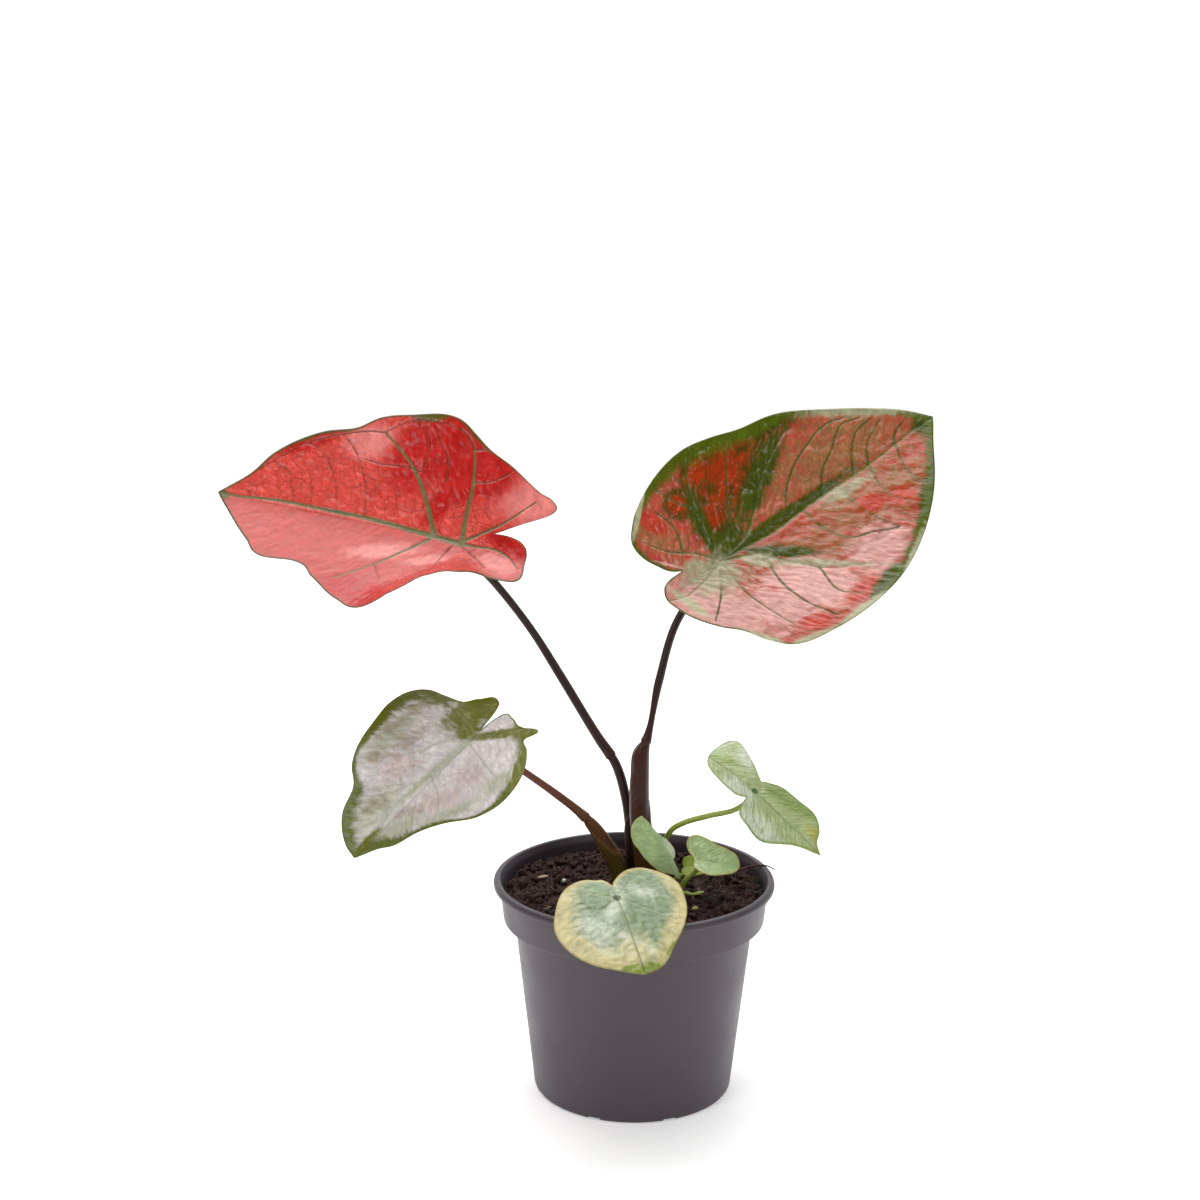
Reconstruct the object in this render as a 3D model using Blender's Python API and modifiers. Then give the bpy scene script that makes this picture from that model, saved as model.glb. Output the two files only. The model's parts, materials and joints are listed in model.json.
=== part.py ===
"""Young caladium in its nursery pot: eight leaves on their own stems, standing in peat.

Origin: centre of the pot's foot, on the table. +X is the plant's right, +Y its back, +Z up.
Every size below is in millimetres and becomes metres through MM.
"""
import math

import bmesh
import bpy
import numpy as np
from mathutils import Vector

MM = 0.001
GAP = 0.3

# Driving dimensions of the pot
POT_HEIGHT = 94.0
LIP_RADIUS = 60.0
LIP_DEPTH = 3.0
BAND_RADIUS = 57.3
BAND_BOTTOM = 76.3
WALL_TOP_RADIUS = 51.0
FOOT_RADIUS = 42.4
WALL = 1.3
FLOOR = 2.4
BAND_DRAFT = 1.6
LEDGE_RISE = 0.6
LIP_ROUND = 2.0
FOOT_ROUND = 2.2
CORNER_ROUND = 0.8
POT_STEPS = 48

# Drainage under the pot's floor
CHANNELS = 8
CHANNEL_DEPTH = 1.4
CHANNEL_WIDTH = 6.0
HUB_DISC_RADIUS = 12.0
DRAIN_RADIUS = 2.6
DRAIN_STRETCH = 1.6
DRAIN_PLACE = 33.0

# Peat
SOIL_LEVEL = 86.5
SOIL_RINGS = 8
CLODS = 90
CLOD_SEED = 11
CLOD_REACH = 52.0
CLOD_WIDTH = (2.5, 6.0)
CLOD_RISE = (-1.2, 2.0)
SIDE_HEAP = 1.2
BACK_HEAP = 0.6
HEAP_REACH = 50.0
LIFT_LIMITS = (-2.0, 4.0)
RIM_EASE = 6.0

# Stems stand this deep in plain holes
STEM_FOOT = 76.0
STEM_COLLAR = 86.0
HOLE_CLEARANCE = 0.4
HOLE_TOP = 100.0

# Leaf tissue. RIB is the thickness at a main rib's root, which thins out to BLADE at the margin.
BLADE = 0.8
RIB = 1.5
RIB_GROOVE = 0.35
GROOVE_FADE = 0.6
RIB_FADE = 0.7
QUILT = 0.45
RELIEF_LENGTH = 90.0
MIDRIB_SOFTNESS = 6.0

# One row a leaf. joint: where the stem meets the blade. heading, pitch and roll: how the midrib
# points and the blade turns about it, in degrees. hub: how far ahead of the joint the rays gather.
# fold: slope of the left and right half away from the midrib. ripples: (angle, half width in
# degrees, lift, distance from the joint). outline: (degrees from the midrib, mm from the hub),
# leftwards from the tip all the way round. sinus: the outline's notch. ribs: degrees. spacing
# and rings: steps of the blade's grid. seat: how far the stem's end lies under the joint.
LEAVES = {
    "left_coral": dict(
        joint=(-73.3, 12.0, 236.7), heading=165.3, pitch=7.9, roll=-44, hub=10, fold=(0.32, 0.22),
        lobe_sag=4, length=112, ripples=((102, 26, 12, 28), (-62, 18, 3, 58)),
        outline=((0, 102), (6, 93), (16, 82), (25, 74), (29, 62), (41, 56), (60, 54), (76, 52),
                 (84, 41), (88, 34.5), (92, 28.5), (106, 26), (127, 28), (143, 28), (151, 34),
                 (160, 41), (174, 39), (190, 35), (195, 29), (198, 23), (204, 36), (206, 46),
                 (208, 50), (213, 50), (220, 46), (244, 43), (258, 44), (268, 48), (277, 53),
                 (298, 57), (312, 63), (322, 66), (331, 75), (345, 87), (353, 92), (360, 102)),
        sinus=198, ribs=(0, 45, 102, 163, 207, 277, 311), spacing=8.5, rings=12, seat=1.9),
    "right_red_green": dict(
        joint=(34.8, 18.0, 228.2), heading=24.3, pitch=29.3, roll=42, hub=10, fold=(0.14, 0.14),
        sag=2, lobe_sag=4, length=117,
        ripples=((62, 22, 3, 57), (-75, 20, 3, 60), (-40, 14, -2, 72), (-150, 25, 2, 35)),
        outline=((0, 107), (6, 99), (12, 90), (22, 78), (38, 65.5), (51, 55.5), (65, 51.5), (81, 50),
                 (108, 47), (130, 46), (140, 45), (148, 41), (156, 35), (163, 30), (166, 26),
                 (169, 33), (175, 37), (192, 38), (222, 39), (236, 41), (248, 48), (257, 54),
                 (276, 59), (300, 66), (324, 77), (345, 91), (354, 99), (360, 107)),
        sinus=166, ribs=(0, 32, 87, 137, 198, 259, 306), spacing=8.5, rings=12, seat=2.0),
    "lower_left_silver": dict(
        joint=(-66.1, -18.0, 161.0), heading=-153.4, pitch=-40, roll=-40, hub=3, fold=(0.35, 0.05),
        lobe_sag=2, length=70, ripples=((75, 20, 2, 34), (-50, 20, 2, 46), (-120, 18, 2, 26)),
        outline=((0, 67), (4, 59), (10, 53), (16, 45), (29, 38), (56, 36), (73, 35), (85, 33),
                 (100, 30), (119, 26), (131, 24), (136, 29), (139, 29), (145, 23), (162, 20),
                 (176, 17), (183, 6), (187, 18), (192, 21), (214, 19), (237, 18), (254, 24),
                 (261, 29), (273, 35), (286, 39), (301, 42), (324, 50), (335, 52), (343, 60),
                 (354, 66), (360, 67)),
        sinus=183, ribs=(0, 40, 73, 138, 194, 258, 314), spacing=10, rings=9, seat=1.9),
    "right_drooping": dict(
        joint=(50.2, -2.0, 133.9), heading=-36, pitch=-33, roll=35, hub=4, fold=(-0.4, -0.1),
        lobe_sag=4, length=40, ripples=((25, 15, 1.5, 27), (-60, 20, 1, 16)),
        outline=((0, 36), (4, 32), (15, 29), (30, 24), (45, 17), (80, 11), (120, 8), (138, 10),
                 (146, 21), (150, 31), (156, 34), (168, 33), (186, 29), (198, 20), (212, 13),
                 (222, 10), (230, 6), (240, 7), (252, 9), (268, 12), (295, 15), (315, 20),
                 (338, 23), (349, 26), (355, 30), (360, 36)),
        sinus=230, ribs=(0, 50, 160, 268, 315), spacing=13, rings=8, seat=1.9),
    "front_low": dict(
        joint=(-6.7, -56.0, 105.2), heading=-69.8, pitch=-26.4, roll=0, hub=0, fold=(-0.08, -0.08),
        sag=3, lobe_sag=3, length=40, ripples=((60, 20, 1.5, 29), (-100, 20, 1.5, 24)),
        outline=((0, 38), (14, 36), (31, 31), (54, 29), (89, 29), (107, 30), (129, 28), (140, 26),
                 (151, 21), (162, 14), (175, 8), (190, 13), (200, 14), (211, 17), (231, 20),
                 (256, 23), (272, 26), (294, 32), (318, 35), (345, 36), (360, 38)),
        sinus=175, ribs=(0, 45, 90, 140, 211, 260, 310), spacing=12, rings=7, seat=1.9),
    "middle_small": dict(
        joint=(12.5, -13.0, 109.8), heading=144, pitch=49, roll=-20, hub=2, fold=(0.1, -0.9),
        lobe_sag=2, length=18, softness=2, ripples=(),
        outline=((0, 16), (15, 16), (34, 15), (56, 13), (70, 11), (93, 10), (142, 10), (180, 12),
                 (194, 15), (202, 13), (208, 7), (226, 8), (259, 9), (290, 8), (325, 7),
                 (348, 10), (360, 16)),
        sinus=208, ribs=(0, 60, 150, 250, 300), spacing=18, rings=5, seat=2.1),
    "oval_small": dict(
        joint=(26.4, -14.0, 106.6), heading=-7, pitch=-1, roll=38, hub=4, fold=(0.15, 0.55),
        sag=2, lobe_sag=2, length=17, softness=3, ripples=(),
        outline=((0, 14), (22, 13), (37, 11), (67, 9), (98, 11), (114, 13), (126, 14), (136, 13),
                 (148, 10), (164, 6), (180, 5), (215, 6), (256, 7), (290, 9), (315, 10),
                 (345, 13), (360, 14)),
        sinus=180, ribs=(0, 60, 126, 240, 300), spacing=18, rings=5, seat=1.9),
    "hidden_young": dict(
        joint=(22.5, -1.0, 99.2), heading=-10, pitch=4, roll=40, hub=3, fold=(0.2, 0.2),
        sag=1, lobe_sag=1, length=12, softness=2, ripples=(),
        outline=((0, 9), (20, 7), (60, 5), (100, 5), (140, 6), (170, 5), (180, 4), (190, 5),
                 (220, 6), (260, 5), (300, 5), (340, 7), (360, 9)),
        sinus=180, ribs=(0, 70, 290), spacing=24, rings=4, seat=1.85),
}

# Free part of each stem from the peat upwards: (x, y, z, radius). make_stem adds two points in
# the hole below it and two points under the leaf's joint above it.
STEMS = {
    "left_coral": (
        (-1.0, 12.5, 90.0, 2.8), (-1.9, 13.0, 111.0, 2.7), (-3.9, 14.0, 124.5, 2.6),
        (-8.4, 15.5, 139.3, 2.5), (-15.8, 16.5, 150.5, 2.1), (-32.5, 19.0, 177.7, 1.9),
        (-44.1, 20.5, 196.1, 1.7), (-60.4, 21.0, 217.4, 1.7)),
    "right_red_green": (
        (5.5, 4.0, 90.0, 4.8), (4.0, 4.8, 106.0, 4.7), (2.5, 6.0, 117.0, 4.6),
        (2.2, 7.0, 137.0, 4.2), (2.8, 7.8, 146.8, 3.7), (4.6, 8.3, 152.0, 2.3),
        (9.9, 13.5, 177.3, 1.8), (17.8, 20.0, 202.6, 1.7), (28.0, 23.5, 217.0, 1.7)),
    "lower_left_silver": (
        (-5.5, -0.5, 90.0, 3.8), (-6.9, -0.5, 98.0, 3.7), (-12.8, -2.0, 110.4, 3.5),
        (-17.4, -3.5, 117.8, 2.9), (-23.0, -5.0, 124.0, 2.0), (-32.7, -7.0, 132.5, 1.7),
        (-45.4, -9.5, 142.6, 1.5), (-58.0, -11.0, 152.0, 1.5)),
    "right_drooping": (
        (12.0, 10.0, 90.0, 1.2), (11.7, 9.0, 103.8, 1.2), (13.5, 8.0, 108.3, 1.2),
        (16.4, 6.0, 113.6, 1.2), (21.2, 4.5, 116.9, 1.2), (30.7, 2.5, 120.6, 1.2),
        (44.1, 1.5, 124.8, 1.1)),
    "front_low": (
        (3.0, -7.0, 89.0, 1.3), (1.8, -13.0, 96.5, 1.3), (-3.0, -34.0, 101.0, 1.2)),
    "middle_small": (
        (11.5, -3.0, 89.0, 1.1), (10.8, -5.5, 98.0, 1.1)),
    "oval_small": (
        (19.5, -6.0, 89.0, 1.2), (22.0, -8.0, 95.5, 1.2)),
    "hidden_young": (
        (16.5, 3.5, 89.0, 1.0), (19.0, 2.8, 93.0, 1.0)),
}
STEM_TOP_REACH = 6.0

# Seedling beside the small leaves
SPROUT_FOOT = (25.0, -8.5)
SPROUT_HEIGHT = 90.0
SPROUT_STEM = 0.6
SPROUT_ROOT = 10.0
SPROUT_LEAFLET = (2.6, 1.5, 0.5)
SPROUT_SPREAD = 2.2
SPROUT_LIFT = 0.25


def clear_scene():
    for thing in list(bpy.data.objects):
        bpy.data.objects.remove(thing, do_unlink=True)


def new_collection(name, parent):
    collection = bpy.data.collections.new(name)
    parent.children.link(collection)
    return collection


def finish(name, colour, roughness):
    """Principled material with its sRGB colour given as three values from 0 to 255."""
    material = bpy.data.materials.new(name)
    material.use_nodes = True
    linear = [((value / 255 + 0.055) / 1.055) ** 2.4 for value in colour]
    shader = material.node_tree.nodes["Principled BSDF"]
    shader.inputs["Base Color"].default_value = (*linear, 1)
    shader.inputs["Roughness"].default_value = roughness
    shader.inputs["Metallic"].default_value = 0
    return material


def add_object(name, data, collection, material):
    thing = bpy.data.objects.new(name, data)
    collection.objects.link(thing)
    if material:
        data.materials.append(material)
    return thing


def mesh_from(name, points, edges=(), faces=()):
    mesh = bpy.data.meshes.new(name)
    mesh.from_pydata([tuple(value * MM for value in point) for point in points], edges, faces)
    mesh.update()
    return mesh


def turned(name, profile, steps, collection, material):
    """Turn a profile of (radius, height) about Z; it starts and ends on the axis."""
    points = [(radius, 0, height) for radius, height in profile]
    edges = [(i, i + 1) for i in range(len(points) - 1)]
    thing = add_object(name, mesh_from(name, points, edges), collection, material)
    screw = thing.modifiers.new("turn", "SCREW")
    screw.axis = "Z"
    screw.angle = math.tau
    screw.steps = steps
    screw.render_steps = steps
    screw.use_merge_vertices = True
    screw.merge_threshold = 0.00001
    return thing


def make_real(thing):
    """Swap an object's modifiers or curve for the mesh that they give."""
    graph = bpy.context.evaluated_depsgraph_get()
    mesh = bpy.data.meshes.new_from_object(thing.evaluated_get(graph))
    mesh.name = thing.name
    thing.modifiers.clear()
    thing.data = mesh
    return mesh


def set_cutter(cutter):
    cutter.hide_render = True
    cutter.display_type = "WIRE"


def box_cutter(name, low, high, turn, collection):
    """Box from its low to its high corner, then turned about Z."""
    shape = bmesh.new()
    bmesh.ops.create_cube(shape, size=1)
    middle = (Vector(low) + Vector(high)) / 2
    size = Vector(high) - Vector(low)
    for vertex in shape.verts:
        vertex.co = Vector(a * b for a, b in zip(vertex.co, size)) + middle
        vertex.co *= MM
    mesh = bpy.data.meshes.new(name)
    shape.to_mesh(mesh)
    shape.free()
    cutter = add_object(name, mesh, collection, None)
    cutter.rotation_euler.z = turn
    set_cutter(cutter)


def round_cutter(name, place, radius, bottom, top, collection, stretch=1.0, turn=0.0):
    """Upright cylinder; stretch lengthens it outwards from the pot's axis."""
    shape = bmesh.new()
    bmesh.ops.create_cone(shape, cap_ends=True, segments=16, radius1=radius * MM,
                          radius2=radius * MM, depth=(top - bottom) * MM)
    for vertex in shape.verts:
        vertex.co.x = vertex.co.x * stretch + place[0] * MM
        vertex.co.y += place[1] * MM
        vertex.co.z += (top + bottom) / 2 * MM
    mesh = bpy.data.meshes.new(name)
    shape.to_mesh(mesh)
    shape.free()
    cutter = add_object(name, mesh, collection, None)
    cutter.rotation_euler.z = turn
    set_cutter(cutter)


def cut(thing, cutters):
    boolean = thing.modifiers.new("cut", "BOOLEAN")
    boolean.operation = "DIFFERENCE"
    boolean.operand_type = "COLLECTION"
    boolean.collection = cutters
    boolean.solver = "EXACT"


def rounded(corners):
    """Profile of (radius, height) whose corners (radius, height, rounding) are eased."""
    profile = []
    for index, (radius, height, rounding) in enumerate(corners):
        corner = Vector((radius, height))
        if not rounding:
            profile.append((radius, height))
            continue
        before = Vector(corners[index - 1][:2]) - corner
        after = Vector(corners[index + 1][:2]) - corner
        start = corner + before.normalized() * rounding
        end = corner + after.normalized() * rounding
        profile += [tuple(start), tuple((start + corner * 2 + end) / 4), tuple(end)]
    return profile


def pot_inner_corners():
    """Inside of the pot, from the floor's centre up to the lip."""
    inner_foot = FOOT_RADIUS - WALL
    inner_wall_top = WALL_TOP_RADIUS - WALL
    inner_band = BAND_RADIUS - WALL
    return [
        (0, FLOOR, 0),
        (inner_foot, FLOOR, CORNER_ROUND),
        (inner_wall_top, BAND_BOTTOM - LEDGE_RISE + WALL, CORNER_ROUND),
        (inner_band - BAND_DRAFT, BAND_BOTTOM + WALL, CORNER_ROUND),
        (inner_band, POT_HEIGHT - LIP_DEPTH, CORNER_ROUND),
        (LIP_RADIUS - LIP_ROUND - CORNER_ROUND, POT_HEIGHT, CORNER_ROUND / 2),
    ]


def pot_outer_corners():
    """Outside of the pot, from the lip down to the foot's centre."""
    return [
        (LIP_RADIUS, POT_HEIGHT, LIP_ROUND),
        (LIP_RADIUS, POT_HEIGHT - LIP_DEPTH, CORNER_ROUND),
        (BAND_RADIUS, POT_HEIGHT - LIP_DEPTH, CORNER_ROUND),
        (BAND_RADIUS - BAND_DRAFT, BAND_BOTTOM, CORNER_ROUND),
        (WALL_TOP_RADIUS, BAND_BOTTOM - LEDGE_RISE, CORNER_ROUND),
        (FOOT_RADIUS, 0, FOOT_ROUND),
        (0, 0, 0),
    ]


def make_pot(collection, cutters, material):
    """Turned pot with raised channels and oval drain holes under its floor."""
    profile = rounded(pot_inner_corners() + pot_outer_corners())
    pot = turned("pot", profile, POT_STEPS, collection, material)
    for index in range(CHANNELS):
        turn = math.tau * (index + 0.5) / CHANNELS
        box_cutter(f"channel_{index}", (HUB_DISC_RADIUS, -CHANNEL_WIDTH / 2, -1),
                   (LIP_RADIUS, CHANNEL_WIDTH / 2, CHANNEL_DEPTH), turn, cutters)
        round_cutter(f"drain_{index}", (DRAIN_PLACE, 0), DRAIN_RADIUS, CHANNEL_DEPTH / 2,
                     FLOOR + 1, cutters, DRAIN_STRETCH, turn)
    cut(pot, cutters)
    return pot


def soil_height(x, y):
    """Lift of the peat over its level: heaped at the sides and back, with random clods."""
    random = np.random.default_rng(CLOD_SEED)
    radius = np.hypot(x, y)
    lift = SIDE_HEAP * (x / HEAP_REACH) ** 2 + BACK_HEAP * y / HEAP_REACH
    reach = CLOD_REACH * random.uniform(0, 1, CLODS) ** 0.5
    angle = random.uniform(0, math.tau, CLODS)
    size = random.uniform(*CLOD_WIDTH, CLODS)
    height = random.uniform(*CLOD_RISE, CLODS)
    for place, turn, width, rise in zip(reach, angle, size, height):
        away = (x - place * math.cos(turn)) ** 2 + (y - place * math.sin(turn)) ** 2
        lift = lift + rise * np.exp(-away / width ** 2)
    return np.clip(lift, *LIFT_LIMITS) * np.clip((LIP_RADIUS - radius) / RIM_EASE, 0, 1)


def peat_profile():
    """Section of the peat plug, 0.3 mm inside the pot, its top flat at the peat's level."""
    inner = [(max(radius - GAP, 0), height + GAP, rounding)
             for radius, height, rounding in pot_inner_corners()[:-2]]
    band_top = POT_HEIGHT - LIP_DEPTH
    part = (band_top - SOIL_LEVEL) / (band_top - BAND_BOTTOM - WALL)
    rim = BAND_RADIUS - WALL - BAND_DRAFT * part - GAP
    sides = rounded([*inner, (rim, SOIL_LEVEL, 0)])[:-1]
    top = [(rim * i / SOIL_RINGS, SOIL_LEVEL) for i in range(SOIL_RINGS + 1)]
    return top + sides[::-1]


def make_soil(collection, cutters, material):
    """Peat plug with a lumpy top and a plain hole for each stem."""
    soil = turned("soil", peat_profile(), POT_STEPS, collection, material)
    mesh = make_real(soil)
    places = np.empty(len(mesh.vertices) * 3)
    mesh.vertices.foreach_get("co", places)
    places = places.reshape(-1, 3)
    upper = places[:, 2] > (SOIL_LEVEL - GAP) * MM
    lift = soil_height(places[upper, 0] / MM, places[upper, 1] / MM)
    places[upper, 2] += lift * MM
    mesh.vertices.foreach_set("co", places.ravel())
    mesh.update()
    for name, points in STEMS.items():
        x, y, _, radius = points[0]
        round_cutter(f"hole_{name}", (x, y), radius + HOLE_CLEARANCE, STEM_FOOT - GAP, HOLE_TOP,
                     cutters)
    round_cutter("hole_sprout", SPROUT_FOOT, SPROUT_STEM + HOLE_CLEARANCE,
                 SPROUT_HEIGHT - SPROUT_ROOT - GAP, HOLE_TOP, cutters)
    cut(soil, cutters)
    return soil


def leaf_axes(leaf):
    """Unit vectors along the midrib, to its left and out of the upper face."""
    heading, pitch, roll = (math.radians(leaf[key]) for key in ("heading", "pitch", "roll"))
    along = np.array([math.cos(pitch) * math.cos(heading), math.cos(pitch) * math.sin(heading),
                      math.sin(pitch)])
    level = np.array([-math.sin(heading), math.cos(heading), 0.0])
    upright = np.cross(along, level)
    left = math.cos(roll) * level + math.sin(roll) * upright
    normal = -math.sin(roll) * level + math.cos(roll) * upright
    return along, left, normal


def leaf_height(leaf, x, y):
    """Bend of the blade over its own plane: folded halves, sag of tip and lobes, ripples."""
    softness = leaf.get("softness", MIDRIB_SOFTNESS)
    slope = np.where(y > 0, leaf["fold"][0], leaf["fold"][1])
    height = slope * (np.sqrt(y * y + softness * softness) - softness)
    height = height - leaf.get("sag", 0) * np.clip(x / leaf["length"], 0, None) ** 2
    height = height - leaf["lobe_sag"] * np.clip(-x / (0.4 * leaf["length"]), 0, None) ** 1.5
    angle = np.degrees(np.arctan2(y, x))
    reach = np.hypot(x, y)
    for middle, width, lift, distance in leaf["ripples"]:
        turn = (angle - middle + 180) % 360 - 180
        height = height + lift * np.clip(reach / distance, 0, 1.6) ** 2 * np.exp(-(turn / width) ** 2)
    return height


def edge_radius(leaf, angles):
    """Smooth curve through the outline's knots, sharp at the tip and at the sinus."""
    knots = np.array(leaf["outline"], float)
    turn, radius = knots[:, 0], knots[:, 1]
    steps = np.diff(radius) / np.diff(turn)
    slope = np.concatenate([steps[:1], (steps[:-1] + steps[1:]) / 2, steps[-1:]])
    sharp = int(np.argmin(np.abs(turn - leaf["sinus"])))
    low = np.clip(np.searchsorted(turn, angles, side="right") - 1, 0, len(turn) - 2)
    span = turn[low + 1] - turn[low]
    part = (angles - turn[low]) / span
    start = np.where(low == sharp, steps[low], slope[low])
    end = np.where(low + 1 == sharp, steps[low], slope[low + 1])
    return ((2 * part ** 3 - 3 * part ** 2 + 1) * radius[low]
            + (part ** 3 - 2 * part ** 2 + part) * span * start
            + (3 * part ** 2 - 2 * part ** 3) * radius[low + 1]
            + (part ** 3 - part ** 2) * span * end)


def ray_angles(leaf):
    """Ray angles: one on each rib and on the sinus, and even steps between them."""
    anchors = sorted(set(leaf["ribs"]) | {leaf["sinus"], 360})
    angles = []
    for low, high in zip(anchors[:-1], anchors[1:]):
        steps = max(1, round((high - low) / leaf["spacing"]))
        angles += [low + (high - low) * i / steps for i in range(steps)]
    return np.array(angles, float)


def rib_nearness(leaf, angles):
    """1 on a rib, 0 midway between two ribs."""
    ribs = np.array(sorted(leaf["ribs"]) + [360], float)
    low = np.clip(np.searchsorted(ribs, angles, side="right") - 1, 0, len(ribs) - 2)
    part = (angles - ribs[low]) / (ribs[low + 1] - ribs[low])
    return np.abs(2 * part - 1)


def make_blade(name, leaf, collection, material):
    """Blade as rays and rings round its joint, quilted between ribs, thickened downwards."""
    angles = ray_angles(leaf)
    rays = len(angles)
    rings = leaf["rings"]
    share = np.linspace(0, 1, rings + 1)[1:, None]
    radius = edge_radius(leaf, angles)[None] * share
    turn = np.radians(angles)[None]
    x = leaf["hub"] * share + radius * np.cos(turn)
    y = radius * np.sin(turn)
    near = rib_nearness(leaf, angles)[None]
    on_rib = np.isin(angles, leaf["ribs"])[None]
    inside = np.sin(share * math.pi) ** 0.5
    swell = np.where(np.arange(rings)[:, None] % 2 == 0, QUILT, -QUILT) * (1 - near) * inside
    groove = RIB_GROOVE * on_rib * (1 - GROOVE_FADE * share)
    relief = (swell - groove) * min(1, leaf["length"] / RELIEF_LENGTH)
    height = leaf_height(leaf, x, y) + relief
    along, left, normal = leaf_axes(leaf)
    grid = (np.array(leaf["joint"]) + x[..., None] * along + y[..., None] * left
            + height[..., None] * normal)
    points = np.concatenate([np.array([leaf["joint"]]), grid.reshape(-1, 3)])
    index = 1 + np.arange(rings * rays).reshape(rings, rays)
    after = np.roll(index, -1, axis=1)
    fan = [(0, int(a), int(b)) for a, b in zip(index[0], after[0])]
    inner, outer = index[:-1].ravel(), index[1:].ravel()
    inner_next, outer_next = after[:-1].ravel(), after[1:].ravel()
    faces = fan
    faces += [(int(a), int(b), int(c)) for a, b, c in zip(inner, outer, outer_next)]
    faces += [(int(a), int(c), int(d)) for a, c, d in zip(inner, outer_next, inner_next)]
    blade = add_object(name, mesh_from(name, points.tolist(), (), faces), collection, material)
    thick = blade.vertex_groups.new(name="thickness")
    weights = np.where(on_rib, 1 - (1 - BLADE / RIB) * share ** RIB_FADE, BLADE / RIB)
    thick.add([0], 1, "REPLACE")
    for vertex, weight in zip(index.ravel().tolist(), weights.ravel().tolist()):
        thick.add([vertex], weight, "REPLACE")
    solid = blade.modifiers.new("tissue", "SOLIDIFY")
    solid.thickness = RIB * MM
    solid.offset = -1
    solid.vertex_group = "thickness"
    solid.thickness_vertex_group = 0
    return blade


def make_stem(name, leaf, points, collection, material):
    """Stem from its foot in the peat to its seat just under the blade's joint."""
    normal = leaf_axes(leaf)[2]
    joint = np.array(leaf["joint"])
    x, y, _, foot_radius = points[0]
    top_radius = points[-1][3]
    path = [(x, y, STEM_FOOT, foot_radius), (x, y, STEM_COLLAR, foot_radius), *points]
    path.append((*(joint - normal * STEM_TOP_REACH), top_radius))
    path.append((*(joint - normal * leaf["seat"]), top_radius))
    curve = bpy.data.curves.new(name, "CURVE")
    curve.dimensions = "3D"
    curve.bevel_depth = MM
    curve.bevel_resolution = 2
    curve.resolution_u = 3
    curve.use_fill_caps = True
    spline = curve.splines.new("BEZIER")
    spline.bezier_points.add(len(path) - 1)
    for knot, (px, py, pz, radius) in zip(spline.bezier_points, path):
        knot.co = (px * MM, py * MM, pz * MM)
        knot.radius = radius
        knot.handle_left_type = "AUTO"
        knot.handle_right_type = "AUTO"
    return add_object(name, curve, collection, material)


def make_sprout(collection, material):
    """Seedling of two leaflets on a thread of a stem, joined in one body."""
    parts = bpy.data.collections.new("sprout_parts")
    bpy.context.scene.collection.children.link(parts)
    x, y = SPROUT_FOOT
    shape = bmesh.new()
    bmesh.ops.create_cone(shape, cap_ends=True, segments=8, radius1=SPROUT_STEM * MM,
                          radius2=SPROUT_STEM * MM, depth=SPROUT_ROOT * MM)
    middle = Vector((x, y, SPROUT_HEIGHT - SPROUT_ROOT / 2))
    bmesh.ops.translate(shape, verts=shape.verts, vec=middle * MM)
    mesh = bpy.data.meshes.new("sprout")
    shape.to_mesh(mesh)
    shape.free()
    sprout = add_object("sprout", mesh, collection, material)
    for side in (-1, 1):
        leaflet = bmesh.new()
        bmesh.ops.create_uvsphere(leaflet, u_segments=10, v_segments=6, radius=1)
        for vertex in leaflet.verts:
            flat = Vector(a * b for a, b in zip(vertex.co, SPROUT_LEAFLET))
            flat.x += side * SPROUT_SPREAD
            flat.z += SPROUT_LIFT * abs(flat.x)
            vertex.co = (flat + Vector((x, y, SPROUT_HEIGHT - SPROUT_LEAFLET[2]))) * MM
        leaf_mesh = bpy.data.meshes.new(f"leaflet_{side}")
        leaflet.to_mesh(leaf_mesh)
        leaflet.free()
        part = add_object(leaf_mesh.name, leaf_mesh, parts, None)
        set_cutter(part)
    union = sprout.modifiers.new("join", "BOOLEAN")
    union.operation = "UNION"
    union.operand_type = "COLLECTION"
    union.collection = parts
    union.solver = "EXACT"
    make_real(sprout)
    for part in list(parts.objects):
        bpy.data.objects.remove(part, do_unlink=True)
    bpy.data.collections.remove(parts)
    return sprout


BLADE_COLOURS = {
    "left_coral": (214, 78, 72), "right_red_green": (150, 80, 58),
    "lower_left_silver": (196, 196, 180), "right_drooping": (150, 182, 122),
    "front_low": (186, 198, 150), "middle_small": (140, 172, 118),
    "oval_small": (150, 186, 130), "hidden_young": (160, 176, 80),
}
STEM_COLOURS = {
    "left_coral": (66, 46, 48), "right_red_green": (72, 48, 44),
    "lower_left_silver": (112, 74, 50), "right_drooping": (134, 140, 66),
    "front_low": (140, 150, 70), "middle_small": (130, 150, 70),
    "oval_small": (120, 150, 60), "hidden_young": (140, 150, 70),
}


def main():
    clear_scene()
    root = bpy.context.scene.collection
    plant = new_collection("caladium", root)
    cutters = new_collection("cutters", root)
    drainage = new_collection("drainage", cutters)
    stem_holes = new_collection("stem_holes", cutters)
    make_pot(plant, drainage, finish("pot_plastic", (96, 88, 94), 0.45))
    make_soil(plant, stem_holes, finish("peat", (44, 30, 28), 0.95))
    for name, leaf in LEAVES.items():
        tissue = finish(f"blade_{name}", BLADE_COLOURS[name], 0.35)
        make_blade(f"leaf_{name}", leaf, plant, tissue)
        skin = finish(f"stem_{name}", STEM_COLOURS[name], 0.4)
        make_stem(f"stem_{name}", leaf, STEMS[name], plant, skin)
    make_sprout(plant, finish("sprout_green", (120, 150, 60), 0.45))


main()
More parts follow.
